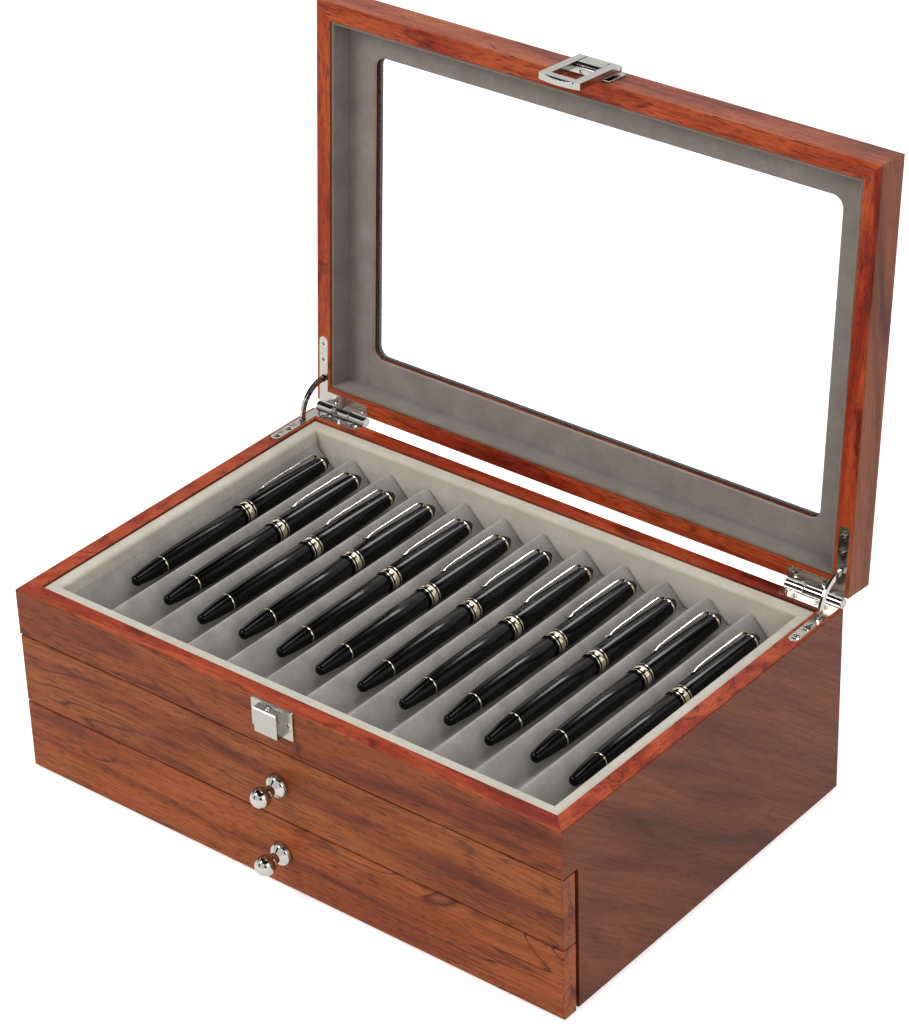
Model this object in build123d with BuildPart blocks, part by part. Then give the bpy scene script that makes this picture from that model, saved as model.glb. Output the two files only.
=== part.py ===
from build123d import *
from math import asin, atan2, cos, hypot, pi, radians, sin
import os

# Wooden chest for a pen collection: a glazed lid on two quadrant hinges, an open compartment
# with a grooved tray, and two drawers. Millimetres, +Z up, front towards -Y, X across. The
# origin is the middle of the underside. The lid stands open and the drawers are shut.

os.makedirs("parts", exist_ok=True)

# ---------------------------------------------------------------- case
CHEST_WIDTH = 330.0
CHEST_DEPTH = 220.0
RIM_HEIGHT = 105.0          # table to the rim of the case
WALL = 9.0                  # sides, back, front rail and lid rails
EDGE_SOFT = 0.6             # softened outer edges of the veneered boards
FELT_THICKNESS = 1.5
FELT_INSET = 5.0
BOTTOM_THICKNESS = 5.0
PARTITION_THICKNESS = 4.0
GROOVE_DEPTH = 3.0          # how far the panels are let into the boards
PANEL_PLAY = 0.15           # round a panel's edge in its groove
FLOOR_THICKNESS = 3.2
FLOOR_ABOVE_RAIL = 1.0      # underside of the floor above the underside of the rail

# ---------------------------------------------------------------- drawers
FRONT_THICKNESS = 9.0
FRONT_HEIGHT = 38.0
FRONT_REVEAL = 0.8          # visible line between the fronts
SHADOW_GAP = 2.5            # between a drawer front and the edge of the case side
BOX_HEIGHT = 31.0
BOX_BOARD = 6.0
BOX_BOTTOM = 3.0
BOX_BOTTOM_UP = 1.5         # underside of the bottom above the lower edge of the sides
BOX_SIDE_PLAY = 0.8
RUNNING_GAP = 0.3
BOX_REAR_PLAY = 2.0
BOX_LINING = 2.0
BOX_LINING_DOWN = 0.5       # below the top of the sides

# ---------------------------------------------------------------- linings and tray
LINING_THICKNESS = 7.0
LINING_BELOW_RIM = 1.0
LINING_ROUND = 2.0
SOFT_GAP = 0.3
TRAY_BASE_THICKNESS = 1.8
GROOVES = 12
RIDGE_HEIGHT = 11.0
RIDGE_ROUND = 1.5
RIDGE_FLAT = 0.8            # half the flat top of a drawer's ridges
VALLEY_HALF_WIDTH = 1.0
TRAY_END_GAP = 0.7
DRAWER_RIDGE_HEIGHT = 9.5

# ---------------------------------------------------------------- lid
LID_THICKNESS = 20.0
LID_GAP = 0.4               # between the two rims when shut
LID_OPEN_ANGLE = 94.0
LID_BORDER = 27.0           # edge of the lid to the window
LID_FLANGE = 3.0            # wood over the glass
LID_ROUND = 2.0
GLASS_THICKNESS = 2.0
GLASS_LAP = 5.0             # glass beyond the window on each side
BOARD_THICKNESS = 1.6
WINDOW_ROUND = 6.0
LID_LINING_THICKNESS = 2.0
LID_LINING_BELOW_RIM = 0.8

# ---------------------------------------------------------------- hinges
AXIS_BEHIND = 3.0           # hinge axis behind the rear face
BARREL_RADIUS = 2.6
BARREL_SIDES = 12
HINGE_PIN_RADIUS = 1.0
PIN_PLAY = 0.05
LEAF_THICKNESS = 1.2
LEAF_PLAY = 0.1
LEAF_FROM_SIDE = 4.5        # middle of the side leg in from the side face
LEAF_SIDE_WIDTH = 5.6
LEAF_SIDE_LENGTH = 37.5
LEAF_REAR_WIDTH = 6.6
LEAF_REAR_LENGTH = 34.0     # from the side face inwards
LEAF_REAR_START = 1.7
LEAF_CORNER = 2.5
KNUCKLE_GAP = 0.3
STAY_INNER_RADIUS = 15.0
STAY_WIDTH = 3.0
STAY_THICKNESS = 1.4
STAY_OVERRUN = 15.0         # degrees of stay beyond each leaf when open
STAY_STOP_WIDTH = 2.4       # square stops near both ends of a stay
STAY_STOP_LENGTH = 3.4      # across the stay
STAY_STOP_FROM_END = 5.0    # degrees
STAY_SLOT_PLAY = 0.3
STAY_SLOT_BOW = 0.4         # room for the stay's curve within the leaf's thickness
POCKET_PLAY = 0.6
POCKET_BEYOND = 4.0         # degrees of pocket past the stay's end

# ---------------------------------------------------------------- screws
SCREW_SHANK_RADIUS = 1.2
SCREW_HEAD_RADIUS = 2.1
SCREW_LENGTH = 7.0
SCREW_PLAY = 0.05
SCREW_HEAD_HEIGHT = 1.1
SCREW_SIDES = 8
SIDE_SCREWS_FROM_REAR = (33.5, 24.5)
REAR_SCREWS_FROM_SIDE = (12.5, 30.0)

# ---------------------------------------------------------------- catch on the front rail
PLATE_THICKNESS = 1.0
CATCH_WIDTH = 25.0
CATCH_HEIGHT = 15.3
CATCH_BELOW_RIM = 0.4
CATCH_CORNER = 0.8
BLOCK_WIDTH = 13.8
BLOCK_HEIGHT = 13.4
BLOCK_DEPTH = 5.2
BLOCK_TOP_BELOW_PLATE = 0.8
BLOCK_CHAMFER = 0.5
BALL_RADIUS = 1.5
BALL_SIDES = 10
BALL_PROUD = 0.8
BALL_PLAY = 0.05
BALL_SOCKET_DEPTH = 8.0
BALL_OUT = 2.6              # middle of the ball in front of the rail

# ---------------------------------------------------------------- hasp on the lid
HASP_PLATE_WIDTH = 28.4
HASP_PLATE_HEIGHT = 13.6
HASP_PLATE_UP = 2.0         # lower edge above the lid's rim
HASP_PLATE_CORNER = 1.5
HASP_WIDTH = 24.0
HASP_PIN_UP = 12.6          # pin above the lid's rim
HASP_PIN_OUT = 3.4          # pin in front of the lid
HASP_PIN_RADIUS = 1.0
HASP_PIN_INSET = 0.3        # pin's ends inside the frame's sides
HASP_EYE_RADIUS = 2.0
HASP_EYE_SLANT = 2.5        # height over which the back slants out to the eye
HASP_SOFT = 0.8             # cut-off lower corner of the face
HASP_BACK = 2.0             # back of the frame in front of the lid
HASP_FACE = 5.4             # face of the frame in front of the lid
HASP_PLAY = 0.4             # round the block
HASP_BAR = 3.4
HASP_BOW = 1.6
HASP_TONGUE_THICKNESS = 1.8
HASP_TONGUE_HEIGHT = 3.3
HUMP_WIDTH = 13.4
HUMP_FOOT_GAP = 0.7
HUMP_SLANT = 1.6            # height of the slanted foot
HUMP_ROOT = 0.5             # how deep the hump starts in its plate

# ---------------------------------------------------------------- knobs
KNOB_FLANGE_RADIUS = 6.2
KNOB_FLANGE_THICKNESS = 5.0
KNOB_NECK_RADIUS = 2.7
KNOB_BALL_RADIUS = 5.2
KNOB_BALL_OUT = 12.0
KNOB_SIDES = 16
KNOB_BELL = ((0.0, 1.0), (0.25, 1.0), (0.55, 0.88), (0.8, 0.64))  # shares of flange and radius
KNOB_BALL_ANGLES = (35, 60, 90, 120, 145, 170)                    # degrees from the neck
KNOB_STUD_RADIUS = 2.0
KNOB_STUD_LENGTH = 7.0
KNOB_STUD_PLAY = 0.05

# ---------------------------------------------------------------- pens
PEN_LENGTH = 146.0
PEN_TIP_RADIUS = 3.5
PEN_TIP_FLAT = 0.6          # blunt end, as a share of the tip's radius
PEN_RING_AT = 20.0
PEN_RING_RADIUS = 5.3
PEN_BARREL_RADIUS = 6.1
PEN_FULL_AT = 0.65          # where the barrel is full, as a share of its visible length
PEN_CAP_AT = 77.5
PEN_CAP_RADIUS = 6.7
PEN_CAP_STRAIGHT = 14.0
PEN_SIDES = 10
PEN_CAP_WAIST = 0.93        # radius halfway down the taper, as a share of the cap's
PEN_CAP_END_RADIUS = 4.9
PEN_CAP_DOME = ((1.0, 1.0), (0.3, 0.7), (0.0, 0.3))  # shares of the end radius: from the end, radius
PEN_CLIP_AT = 135.0
PEN_CLIP_LENGTH = 45.0
PEN_CLIP_WIDTH = 2.0
PEN_CLIP_THICKNESS = 0.9
PEN_CLIP_STAND = 0.5
PEN_CLIP_SEAT = 0.75        # clip's root above the cap's end radius
PEN_CLIP_ROOT = 1.2
PEN_CLIP_SLOPE = (2.5, 1.5) # run of the bent top, inside and outside
PEN_CLEAR = 0.3
PEN_REAR_GAP = 7.0          # rearmost pen to the rear lining
PEN_STAGGER = (5.0, 1.5, -1.5, 0.5, -0.5, -1.0, 0.0, 0.5, 2.5, 1.0, 3.0, -1.0)

# ---------------------------------------------------------------- worked-out places
HALF_W = CHEST_WIDTH / 2
HALF_D = CHEST_DEPTH / 2
INNER_W = HALF_W - WALL
INNER_D = HALF_D - WALL
FRONT_PITCH = FRONT_HEIGHT + FRONT_REVEAL
RAIL_Z = FELT_THICKNESS + 2 * FRONT_PITCH
FLOOR_Z = RAIL_Z + FLOOR_ABOVE_RAIL
FLOOR_TOP = FLOOR_Z + FLOOR_THICKNESS
BOTTOM_TOP = FELT_THICKNESS + BOTTOM_THICKNESS
PARTITION_Z = BOTTOM_TOP + FRONT_PITCH - PARTITION_THICKNESS
SIDE_FRONT_Y = -HALF_D + FRONT_THICKNESS + SHADOW_GAP
TRAY_Z = FLOOR_TOP + PANEL_PLAY
TRAY_TOP = TRAY_Z + TRAY_BASE_THICKNESS
TRAY_HALF_W = INNER_W - LINING_THICKNESS - SOFT_GAP
TRAY_HALF_D = INNER_D - LINING_THICKNESS - TRAY_END_GAP
AXIS_Y = HALF_D + AXIS_BEHIND
AXIS_Z = RIM_HEIGHT + LID_GAP / 2
LID_RIM = RIM_HEIGHT + LID_GAP
LID_TOP = LID_RIM + LID_THICKNESS
LEAF_X = HALF_W - LEAF_FROM_SIDE
STAY_OUTER_RADIUS = STAY_INNER_RADIUS + STAY_WIDTH
STAY_RADIUS = STAY_INNER_RADIUS + STAY_WIDTH / 2
HINGE_AXIS = Vector(0, AXIS_Y, AXIS_Z)
OVER = 1.0                  # how far a cut reaches beyond what it cuts
DIAGONAL = sin(radians(45)) # share of a radius halfway round a quarter turn


# ---------------------------------------------------------------- places and small helpers
def opened(plane):
    """The plane of a shut lid, swung to the open lid's place."""
    def swing(vector):
        return vector.rotate(Axis.X, -LID_OPEN_ANGLE)
    return Plane(
        origin=swing(plane.origin - HINGE_AXIS) + HINGE_AXIS,
        x_dir=swing(plane.x_dir),
        z_dir=swing(plane.z_dir),
    )


def shut(plane):
    """The plane as it is, for pieces of the case."""
    return plane


def level(height, x=0.0, y=0.0):
    """A level plane at a height."""
    return Plane((x, y, height), x_dir=(1, 0, 0), z_dir=(0, 0, 1))


def facing_front(y, x=0.0, z=0.0):
    """A plane that faces the front, with its x across and its y up."""
    return Plane((x, y, z), x_dir=(1, 0, 0), z_dir=(0, -1, 0))


def facing_right(x, y=0.0, z=0.0):
    """A plane that faces right, with its x to the rear and its y up."""
    return Plane((x, y, z), x_dir=(0, 1, 0), z_dir=(1, 0, 0))


def save(piece, node):
    """Labels a finished piece and writes its file."""
    piece.label = node
    export_step(piece, "parts/" + node + ".step")


def slab(low, high):
    """A rectangular board between two corners."""
    width, depth, height = (high[i] - low[i] for i in range(3))
    with BuildPart() as board:
        with BuildSketch(level(low[2], (low[0] + high[0]) / 2, (low[1] + high[1]) / 2)):
            Rectangle(width, depth)
        extrude(amount=height)
    return board.part


def faceted(plane, stations, sides):
    """A long piece of round section with flat sides, through (distance, radius) stations.

    Flat sides keep the many small round pieces light.
    """
    turns = [2 * pi * index / sides for index in range(sides)]
    rings = [
        [plane.from_local_coords((radius * cos(turn), radius * sin(turn), distance)) for turn in turns]
        for distance, radius in stations
    ]
    outlines = [rings[0], rings[-1]]
    for low, high in zip(rings, rings[1:]):
        outlines += [[low[i - 1], low[i], high[i], high[i - 1]] for i in range(sides)]
    return Solid(Shell([Face(Wire.make_polygon(outline)) for outline in outlines]))


def screw(plane, grow=0.0):
    """A countersunk wood screw whose head is flush with a plane and points out of it."""
    stations = (
        (0, SCREW_HEAD_RADIUS + grow),
        (SCREW_HEAD_HEIGHT + grow, SCREW_SHANK_RADIUS + grow),
        (SCREW_LENGTH + grow, SCREW_SHANK_RADIUS + grow),
    )
    inwards = Plane(plane.origin, x_dir=plane.x_dir, z_dir=-plane.z_dir)
    return faceted(inwards, stations, SCREW_SIDES)


def screw_hole(plane):
    """What a screw needs: its own shape with play all round."""
    return screw(plane, SCREW_PLAY)


# ---------------------------------------------------------------- hinge places, right and left
def leaf_screw_planes(side, place, height, facing):
    """Planes of a hinge leaf's screw heads."""
    along_side = [(side * LEAF_X, HALF_D - y) for y in SIDE_SCREWS_FROM_REAR]
    rear_y = HALF_D - LEAF_REAR_WIDTH / 2
    along_rear = [(side * (HALF_W - x), rear_y) for x in REAR_SCREWS_FROM_SIDE]
    return [
        place(Plane((x, y, height), x_dir=(1, 0, 0), z_dir=(0, 0, facing)))
        for x, y in along_side + along_rear
    ]


def leaf_outline(side, grow=0.0):
    """The L-shaped outline of a hinge leaf, drawn inside a sketch in chest coordinates."""
    half = LEAF_SIDE_WIDTH / 2 + grow
    leg_end = HALF_D - LEAF_SIDE_LENGTH + LEAF_SIDE_WIDTH / 2
    with BuildLine() as outline:
        Polyline(
            (side * (LEAF_X - half), leg_end),
            (side * (LEAF_X - half), HALF_D),
            (side * (LEAF_X + half), HALF_D),
            (side * (LEAF_X + half), leg_end),
        )
        ThreePointArc(
            (side * (LEAF_X + half), leg_end),
            (side * LEAF_X, leg_end - half),
            (side * (LEAF_X - half), leg_end),
        )
    make_face(outline.edges())
    rear_in = HALF_W - LEAF_REAR_LENGTH - grow
    rear_out = HALF_W - LEAF_REAR_START + grow
    front_y = HALF_D - LEAF_REAR_WIDTH - grow
    turn = LEAF_CORNER * (1 - DIAGONAL)
    with BuildLine() as outline:
        Polyline(
            (side * rear_in, front_y + LEAF_CORNER),
            (side * rear_in, HALF_D),
            (side * rear_out, HALF_D),
            (side * rear_out, front_y),
            (side * (rear_in + LEAF_CORNER), front_y),
        )
        ThreePointArc(
            (side * (rear_in + LEAF_CORNER), front_y),
            (side * (rear_in + turn), front_y + turn),
            (side * rear_in, front_y + LEAF_CORNER),
        )
    make_face(outline.edges())


def arc_band(side, x_half, inner, outer, start, end, place, flip=1):
    """A flat ring sector about the hinge axis, start and end in degrees above the front."""
    plane = place(facing_right(side * LEAF_X - x_half, AXIS_Y, AXIS_Z))
    low, high = radians(start), radians(end)
    middle = (low + high) / 2
    def at(radius, angle):
        return (-radius * cos(angle), flip * radius * sin(angle))
    with BuildPart() as band:
        with BuildSketch(plane):
            with BuildLine():
                ThreePointArc(at(inner, low), at(inner, middle), at(inner, high))
                Line(at(inner, high), at(outer, high))
                ThreePointArc(at(outer, high), at(outer, middle), at(outer, low))
                Line(at(outer, low), at(inner, low))
            make_face()
        extrude(amount=2 * x_half)
    return band.part


def hinge_recess(side, place, facing):
    """Wood cut away for one leaf, its screws and the stay's pocket.

    Facing is 1 on the case and -1 on the lid.
    """
    surface = RIM_HEIGHT if facing > 0 else LID_RIM
    reach = LID_OPEN_ANGLE / 2 + STAY_OVERRUN + POCKET_BEYOND
    cut_z = surface - facing * (LEAF_THICKNESS + LEAF_PLAY)
    with BuildPart() as recess:
        with BuildSketch(place(level(min(cut_z, surface + facing)))):
            leaf_outline(side, LEAF_PLAY)
        extrude(amount=LEAF_THICKNESS + LEAF_PLAY + OVER)
        half = (STAY_STOP_LENGTH + POCKET_PLAY) / 2
        inner, outer = STAY_INNER_RADIUS - POCKET_PLAY, STAY_OUTER_RADIUS + POCKET_PLAY
        add(arc_band(side, half, inner, outer, 0, reach, place, -facing))
        for plane in leaf_screw_planes(side, place, surface, facing):
            add(screw_hole(plane))
    return recess.part


def hinge_leaf(side, place, facing, knuckles):
    """One leaf with its knuckles. Facing is 1 on the case, -1 on the lid."""
    surface = RIM_HEIGHT if facing > 0 else LID_RIM
    plate_z = min(surface, surface - facing * LEAF_THICKNESS)
    with BuildPart() as leaf:
        with BuildSketch(place(level(plate_z))):
            leaf_outline(side)
        extrude(amount=LEAF_THICKNESS)
        for start, end in knuckles:
            x = min(side * start, side * end)
            with BuildSketch(place(level(plate_z, side * (start + end) / 2, (HALF_D + AXIS_Y) / 2))):
                Rectangle(end - start, AXIS_BEHIND)
            extrude(amount=LEAF_THICKNESS)
            with BuildSketch(place(facing_right(x, AXIS_Y, AXIS_Z))):
                RegularPolygon(BARREL_RADIUS, BARREL_SIDES)
            extrude(amount=end - start)
        with BuildSketch(place(facing_right(-HALF_W, AXIS_Y, AXIS_Z))):
            Circle(HINGE_PIN_RADIUS + PIN_PLAY)
        extrude(amount=CHEST_WIDTH, mode=Mode.SUBTRACT)
        for plane in leaf_screw_planes(side, place, surface, facing):
            add(screw_hole(plane), mode=Mode.SUBTRACT)
        slot_y = AXIS_Y - STAY_RADIUS
        slot_length = STAY_WIDTH + 2 * STAY_SLOT_PLAY + STAY_SLOT_BOW
        with BuildSketch(place(level(plate_z - OVER, side * LEAF_X, slot_y))):
            Rectangle(STAY_THICKNESS + 2 * STAY_SLOT_PLAY, slot_length)
        extrude(amount=LEAF_THICKNESS + 2 * OVER, mode=Mode.SUBTRACT)
    return leaf.part


BARREL_START = HALF_W - LEAF_REAR_LENGTH
BARREL_END = HALF_W - LEAF_REAR_START
BARREL_THIRD = (BARREL_END - BARREL_START) / 3
CASE_KNUCKLES = (
    (BARREL_START, BARREL_START + BARREL_THIRD - KNUCKLE_GAP / 2),
    (BARREL_END - BARREL_THIRD + KNUCKLE_GAP / 2, BARREL_END),
)
LID_KNUCKLES = (
    (BARREL_START + BARREL_THIRD + KNUCKLE_GAP / 2, BARREL_END - BARREL_THIRD - KNUCKLE_GAP / 2),
)

case_recesses = {side: hinge_recess(side, shut, 1) for side in (-1, 1)}
lid_recesses = {side: hinge_recess(side, opened, -1) for side in (-1, 1)}


# ---------------------------------------------------------------- mitred boards
def mitred_board(seat, length, profile, reach, height):
    """A straight board with both ends mitred.

    The seat plane lies at the middle of the board's outer lower edge, x along it and y inwards.
    The profile draws the section, with x inwards and y up.
    """
    start = seat.origin - seat.x_dir * (length / 2)
    with BuildPart() as board:
        with BuildSketch(Plane(start, x_dir=seat.y_dir, z_dir=seat.x_dir)):
            profile()
        extrude(amount=length)
        with BuildSketch(Plane(seat.origin - seat.z_dir * OVER, x_dir=seat.x_dir, z_dir=seat.z_dir)):
            for end in (-1, 1):
                with BuildLine():
                    Polyline(
                        (end * (length / 2 + OVER), -OVER),
                        (end * (length / 2 + OVER), reach + OVER),
                        (end * (length / 2 - reach - OVER), reach + OVER),
                        close=True,
                    )
                make_face()
        extrude(amount=height + 2 * OVER, mode=Mode.SUBTRACT)
    return board.part


def board_section(height):
    """A plain board's section with softened outer corners."""
    def draw():
        with BuildLine() as outline:
            Polyline(
                (EDGE_SOFT, 0),
                (WALL, 0),
                (WALL, height),
                (EDGE_SOFT, height),
                (0, height - EDGE_SOFT),
                (0, EDGE_SOFT),
                close=True,
            )
        make_face(outline.edges())
    return draw


def lid_section():
    """The lid rail: a wall with a flange over the glass and a rounded top edge."""
    turn = LID_ROUND * (1 - DIAGONAL)
    with BuildLine() as outline:
        Polyline(
            (LID_ROUND, LID_THICKNESS),
            (LID_BORDER, LID_THICKNESS),
            (LID_BORDER, LID_THICKNESS - LID_FLANGE),
            (WALL, LID_THICKNESS - LID_FLANGE),
            (WALL, 0),
            (EDGE_SOFT, 0),
            (0, EDGE_SOFT),
            (0, LID_THICKNESS - LID_ROUND),
        )
        ThreePointArc(
            (0, LID_THICKNESS - LID_ROUND),
            (turn, LID_THICKNESS - turn),
            (LID_ROUND, LID_THICKNESS),
        )
    make_face(outline.edges())


def seats(place, height, half_w=HALF_W, half_d=HALF_D):
    """The sides of a level rectangle: front, right, back and left, each with its length."""
    corners = {
        "front": ((0, -half_d), (1, 0), half_w),
        "right": ((half_w, 0), (0, 1), half_d),
        "back": ((0, half_d), (-1, 0), half_w),
        "left": ((-half_w, 0), (0, -1), half_d),
    }
    return {
        name: (place(Plane((*middle, height), x_dir=(*along, 0), z_dir=(0, 0, 1))), 2 * half)
        for name, (middle, along, half) in corners.items()
    }


CASE_HEIGHT = RIM_HEIGHT - FELT_THICKNESS
PANELS = {
    "compartment_floor": (FLOOR_Z, FLOOR_THICKNESS, -INNER_D - GROOVE_DEPTH),
    "drawer_partition": (PARTITION_Z, PARTITION_THICKNESS, SIDE_FRONT_Y),
    "case_bottom": (FELT_THICKNESS, BOTTOM_THICKNESS, SIDE_FRONT_Y),
}


def panel_grooves():
    """Room for the three level panels in the boards around them."""
    with BuildPart() as grooves:
        for panel_z, thickness, front_y in PANELS.values():
            rear_y = INNER_D + GROOVE_DEPTH
            with BuildSketch(level(panel_z - PANEL_PLAY, 0, (front_y + rear_y) / 2)):
                Rectangle(2 * (INNER_W + GROOVE_DEPTH), rear_y - front_y)
            extrude(amount=thickness + 2 * PANEL_PLAY)
    return grooves.part


grooves = panel_grooves()
case_seats = seats(shut, FELT_THICKNESS)

for name, side in (("left", -1), ("right", 1)):
    seat, length = case_seats[name]
    with BuildPart() as case_side:
        add(mitred_board(seat, length, board_section(CASE_HEIGHT), WALL, CASE_HEIGHT))
        below_rail = RAIL_Z - FELT_THICKNESS
        cut_depth = FRONT_THICKNESS + SHADOW_GAP
        with BuildSketch(level(FELT_THICKNESS - OVER, side * HALF_W, -HALF_D + cut_depth / 2 - OVER)):
            Rectangle(4 * WALL, cut_depth + 2 * OVER)
        extrude(amount=below_rail + OVER, mode=Mode.SUBTRACT)
        add(grooves, mode=Mode.SUBTRACT)
        add(case_recesses[side], mode=Mode.SUBTRACT)
    save(case_side.part, "case_side_" + name)

seat, length = case_seats["back"]
with BuildPart() as case_back:
    add(mitred_board(seat, length, board_section(CASE_HEIGHT), WALL, CASE_HEIGHT))
    add(grooves, mode=Mode.SUBTRACT)
    for side in (-1, 1):
        add(case_recesses[side], mode=Mode.SUBTRACT)
save(case_back.part, "case_back")

# the catch's screws stand beside its block, halfway up the plate
CATCH_TOP = RIM_HEIGHT - CATCH_BELOW_RIM
CATCH_Z = CATCH_TOP - CATCH_HEIGHT / 2
CATCH_SCREW_X = (CATCH_WIDTH + BLOCK_WIDTH) / 4
catch_screw_planes = [
    facing_front(-HALF_D - PLATE_THICKNESS, side * CATCH_SCREW_X, CATCH_Z) for side in (-1, 1)
]

seat, length = seats(shut, RAIL_Z)["front"]
RAIL_HEIGHT = RIM_HEIGHT - RAIL_Z
with BuildPart() as case_front_rail:
    add(mitred_board(seat, length, board_section(RAIL_HEIGHT), WALL, RAIL_HEIGHT))
    add(grooves, mode=Mode.SUBTRACT)
    for plane in catch_screw_planes:
        add(screw_hole(plane), mode=Mode.SUBTRACT)
save(case_front_rail.part, "case_front_rail")

for node, (panel_z, thickness, front_y) in PANELS.items():
    reach_x = INNER_W + GROOVE_DEPTH - PANEL_PLAY
    front = front_y + PANEL_PLAY
    rear = INNER_D + GROOVE_DEPTH - PANEL_PLAY
    save(slab((-reach_x, front, panel_z), (reach_x, rear, panel_z + thickness)), node)

with BuildPart() as base_felt:
    with BuildSketch(level(0, 0, (SIDE_FRONT_Y + HALF_D) / 2)):
        Rectangle(CHEST_WIDTH - 2 * FELT_INSET, HALF_D - SIDE_FRONT_Y - 2 * FELT_INSET)
    extrude(amount=FELT_THICKNESS)
save(base_felt.part, "base_felt")


# ---------------------------------------------------------------- linings of the top compartment
def lining_section():
    """A wrapped board that stands on the floor, rounded along its inner top edge."""
    top = RIM_HEIGHT - LINING_BELOW_RIM - TRAY_Z
    turn = LINING_ROUND * (1 - DIAGONAL)
    with BuildLine() as outline:
        Polyline((0, 0), (0, top), (LINING_THICKNESS - LINING_ROUND, top))
        ThreePointArc(
            (LINING_THICKNESS - LINING_ROUND, top),
            (LINING_THICKNESS - turn, top - turn),
            (LINING_THICKNESS, top - LINING_ROUND),
        )
        Polyline((LINING_THICKNESS, top - LINING_ROUND), (LINING_THICKNESS, 0), (0, 0))
    make_face(outline.edges())


LINING_HEIGHT = RIM_HEIGHT - TRAY_Z
for name, (seat, length) in seats(shut, TRAY_Z, INNER_W, INNER_D).items():
    save(mitred_board(seat, length, lining_section, LINING_THICKNESS, LINING_HEIGHT), "lining_" + name)


# ---------------------------------------------------------------- ridge strips between the grooves
def ridge_slope(height, half_base):
    """Angle of a ridge's flank, which touches its rounded top."""
    rise = height - RIDGE_ROUND
    return atan2(rise, half_base) + asin(RIDGE_ROUND / hypot(rise, half_base))


def rounded_flank(height, half_base, side):
    """The wires of one flank with its half of the rounded top, from the base to the middle."""
    slope = ridge_slope(height, half_base)
    centre = height - RIDGE_ROUND
    touch = (side * RIDGE_ROUND * sin(slope), centre + RIDGE_ROUND * cos(slope))
    middle = (side * RIDGE_ROUND * sin(slope / 2), centre + RIDGE_ROUND * cos(slope / 2))
    return [Line((side * half_base, 0), touch), ThreePointArc(touch, middle, (0, height))]


def ridge_profile(height, half_base, rounded, sides):
    """A ridge's section with the flanks named in sides: -1 left, 1 right."""
    with BuildLine() as outline:
        ends = [0, 0]
        for index, side in enumerate((-1, 1)):
            if side in sides and rounded:
                rounded_flank(height, half_base, side)
                ends[index] = side * half_base
            elif side in sides:
                Polyline((side * half_base, 0), (side * RIDGE_FLAT, height), (0, height))
                ends[index] = side * half_base
            else:
                Line((0, 0), (0, height))
        Line((ends[0], 0), (ends[1], 0))
    make_face(outline.edges())


def ridge_strips(half_width, front_y, rear_y, base_z, height, rounded):
    """The strips that make the grooves of one tray, with a half strip at each end."""
    pitch = 2 * half_width / GROOVES
    half_base = pitch / 2 - VALLEY_HALF_WIDTH
    with BuildPart() as strips:
        for index in range(GROOVES + 1):
            sides = [side for side in (-1, 1) if 0 <= index + side <= GROOVES]
            x = -half_width + index * pitch
            with BuildSketch(Plane((x, rear_y, base_z), x_dir=(1, 0, 0), z_dir=(0, -1, 0))):
                ridge_profile(height, half_base, rounded, sides)
            extrude(amount=rear_y - front_y)
    return strips.part


reach = INNER_D - LINING_THICKNESS - SOFT_GAP
save(slab((-TRAY_HALF_W, -reach, TRAY_Z), (TRAY_HALF_W, reach, TRAY_TOP)), "tray_base")
save(ridge_strips(TRAY_HALF_W, -TRAY_HALF_D, TRAY_HALF_D, TRAY_TOP, RIDGE_HEIGHT, True), "tray_ridges")


# ---------------------------------------------------------------- hinges
STAY_X_HALF = STAY_THICKNESS / 2
pins = []
case_screws = []
lid_screws = []
for name, side in (("left", -1), ("right", 1)):
    save(hinge_leaf(side, shut, 1, CASE_KNUCKLES), "hinge_case_leaf_" + name)
    save(hinge_leaf(side, opened, -1, LID_KNUCKLES), "hinge_lid_leaf_" + name)
    case_screws += [screw(plane) for plane in leaf_screw_planes(side, shut, RIM_HEIGHT, 1)]
    lid_screws += [screw(plane) for plane in leaf_screw_planes(side, opened, LID_RIM, -1)]

    with BuildPart() as hinge_pin:
        x_low = min(side * BARREL_START, side * BARREL_END)
        with BuildSketch(facing_right(x_low, AXIS_Y, AXIS_Z)):
            Circle(HINGE_PIN_RADIUS)
        extrude(amount=BARREL_END - BARREL_START)
    pins.append(hinge_pin.part)

    with BuildPart() as stay:
        stay_end = LID_OPEN_ANGLE + STAY_OVERRUN
        radii = (STAY_INNER_RADIUS, STAY_OUTER_RADIUS)
        add(arc_band(side, STAY_X_HALF, *radii, -STAY_OVERRUN, stay_end, shut))
        for angle in (-STAY_OVERRUN + STAY_STOP_FROM_END, stay_end - STAY_STOP_FROM_END):
            stop_y = AXIS_Y - STAY_RADIUS * cos(radians(angle))
            stop_z = AXIS_Z + STAY_RADIUS * sin(radians(angle))
            with BuildSketch(facing_right(side * LEAF_X - STAY_STOP_LENGTH / 2, stop_y, stop_z)):
                Rectangle(STAY_STOP_WIDTH, STAY_STOP_WIDTH, rotation=-angle)
            extrude(amount=STAY_STOP_LENGTH)
    save(stay.part, "stay_" + name)

save(Compound(children=pins), "hinge_pins")
save(Compound(children=case_screws), "hinge_case_screws")
save(Compound(children=lid_screws), "hinge_lid_screws")

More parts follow.
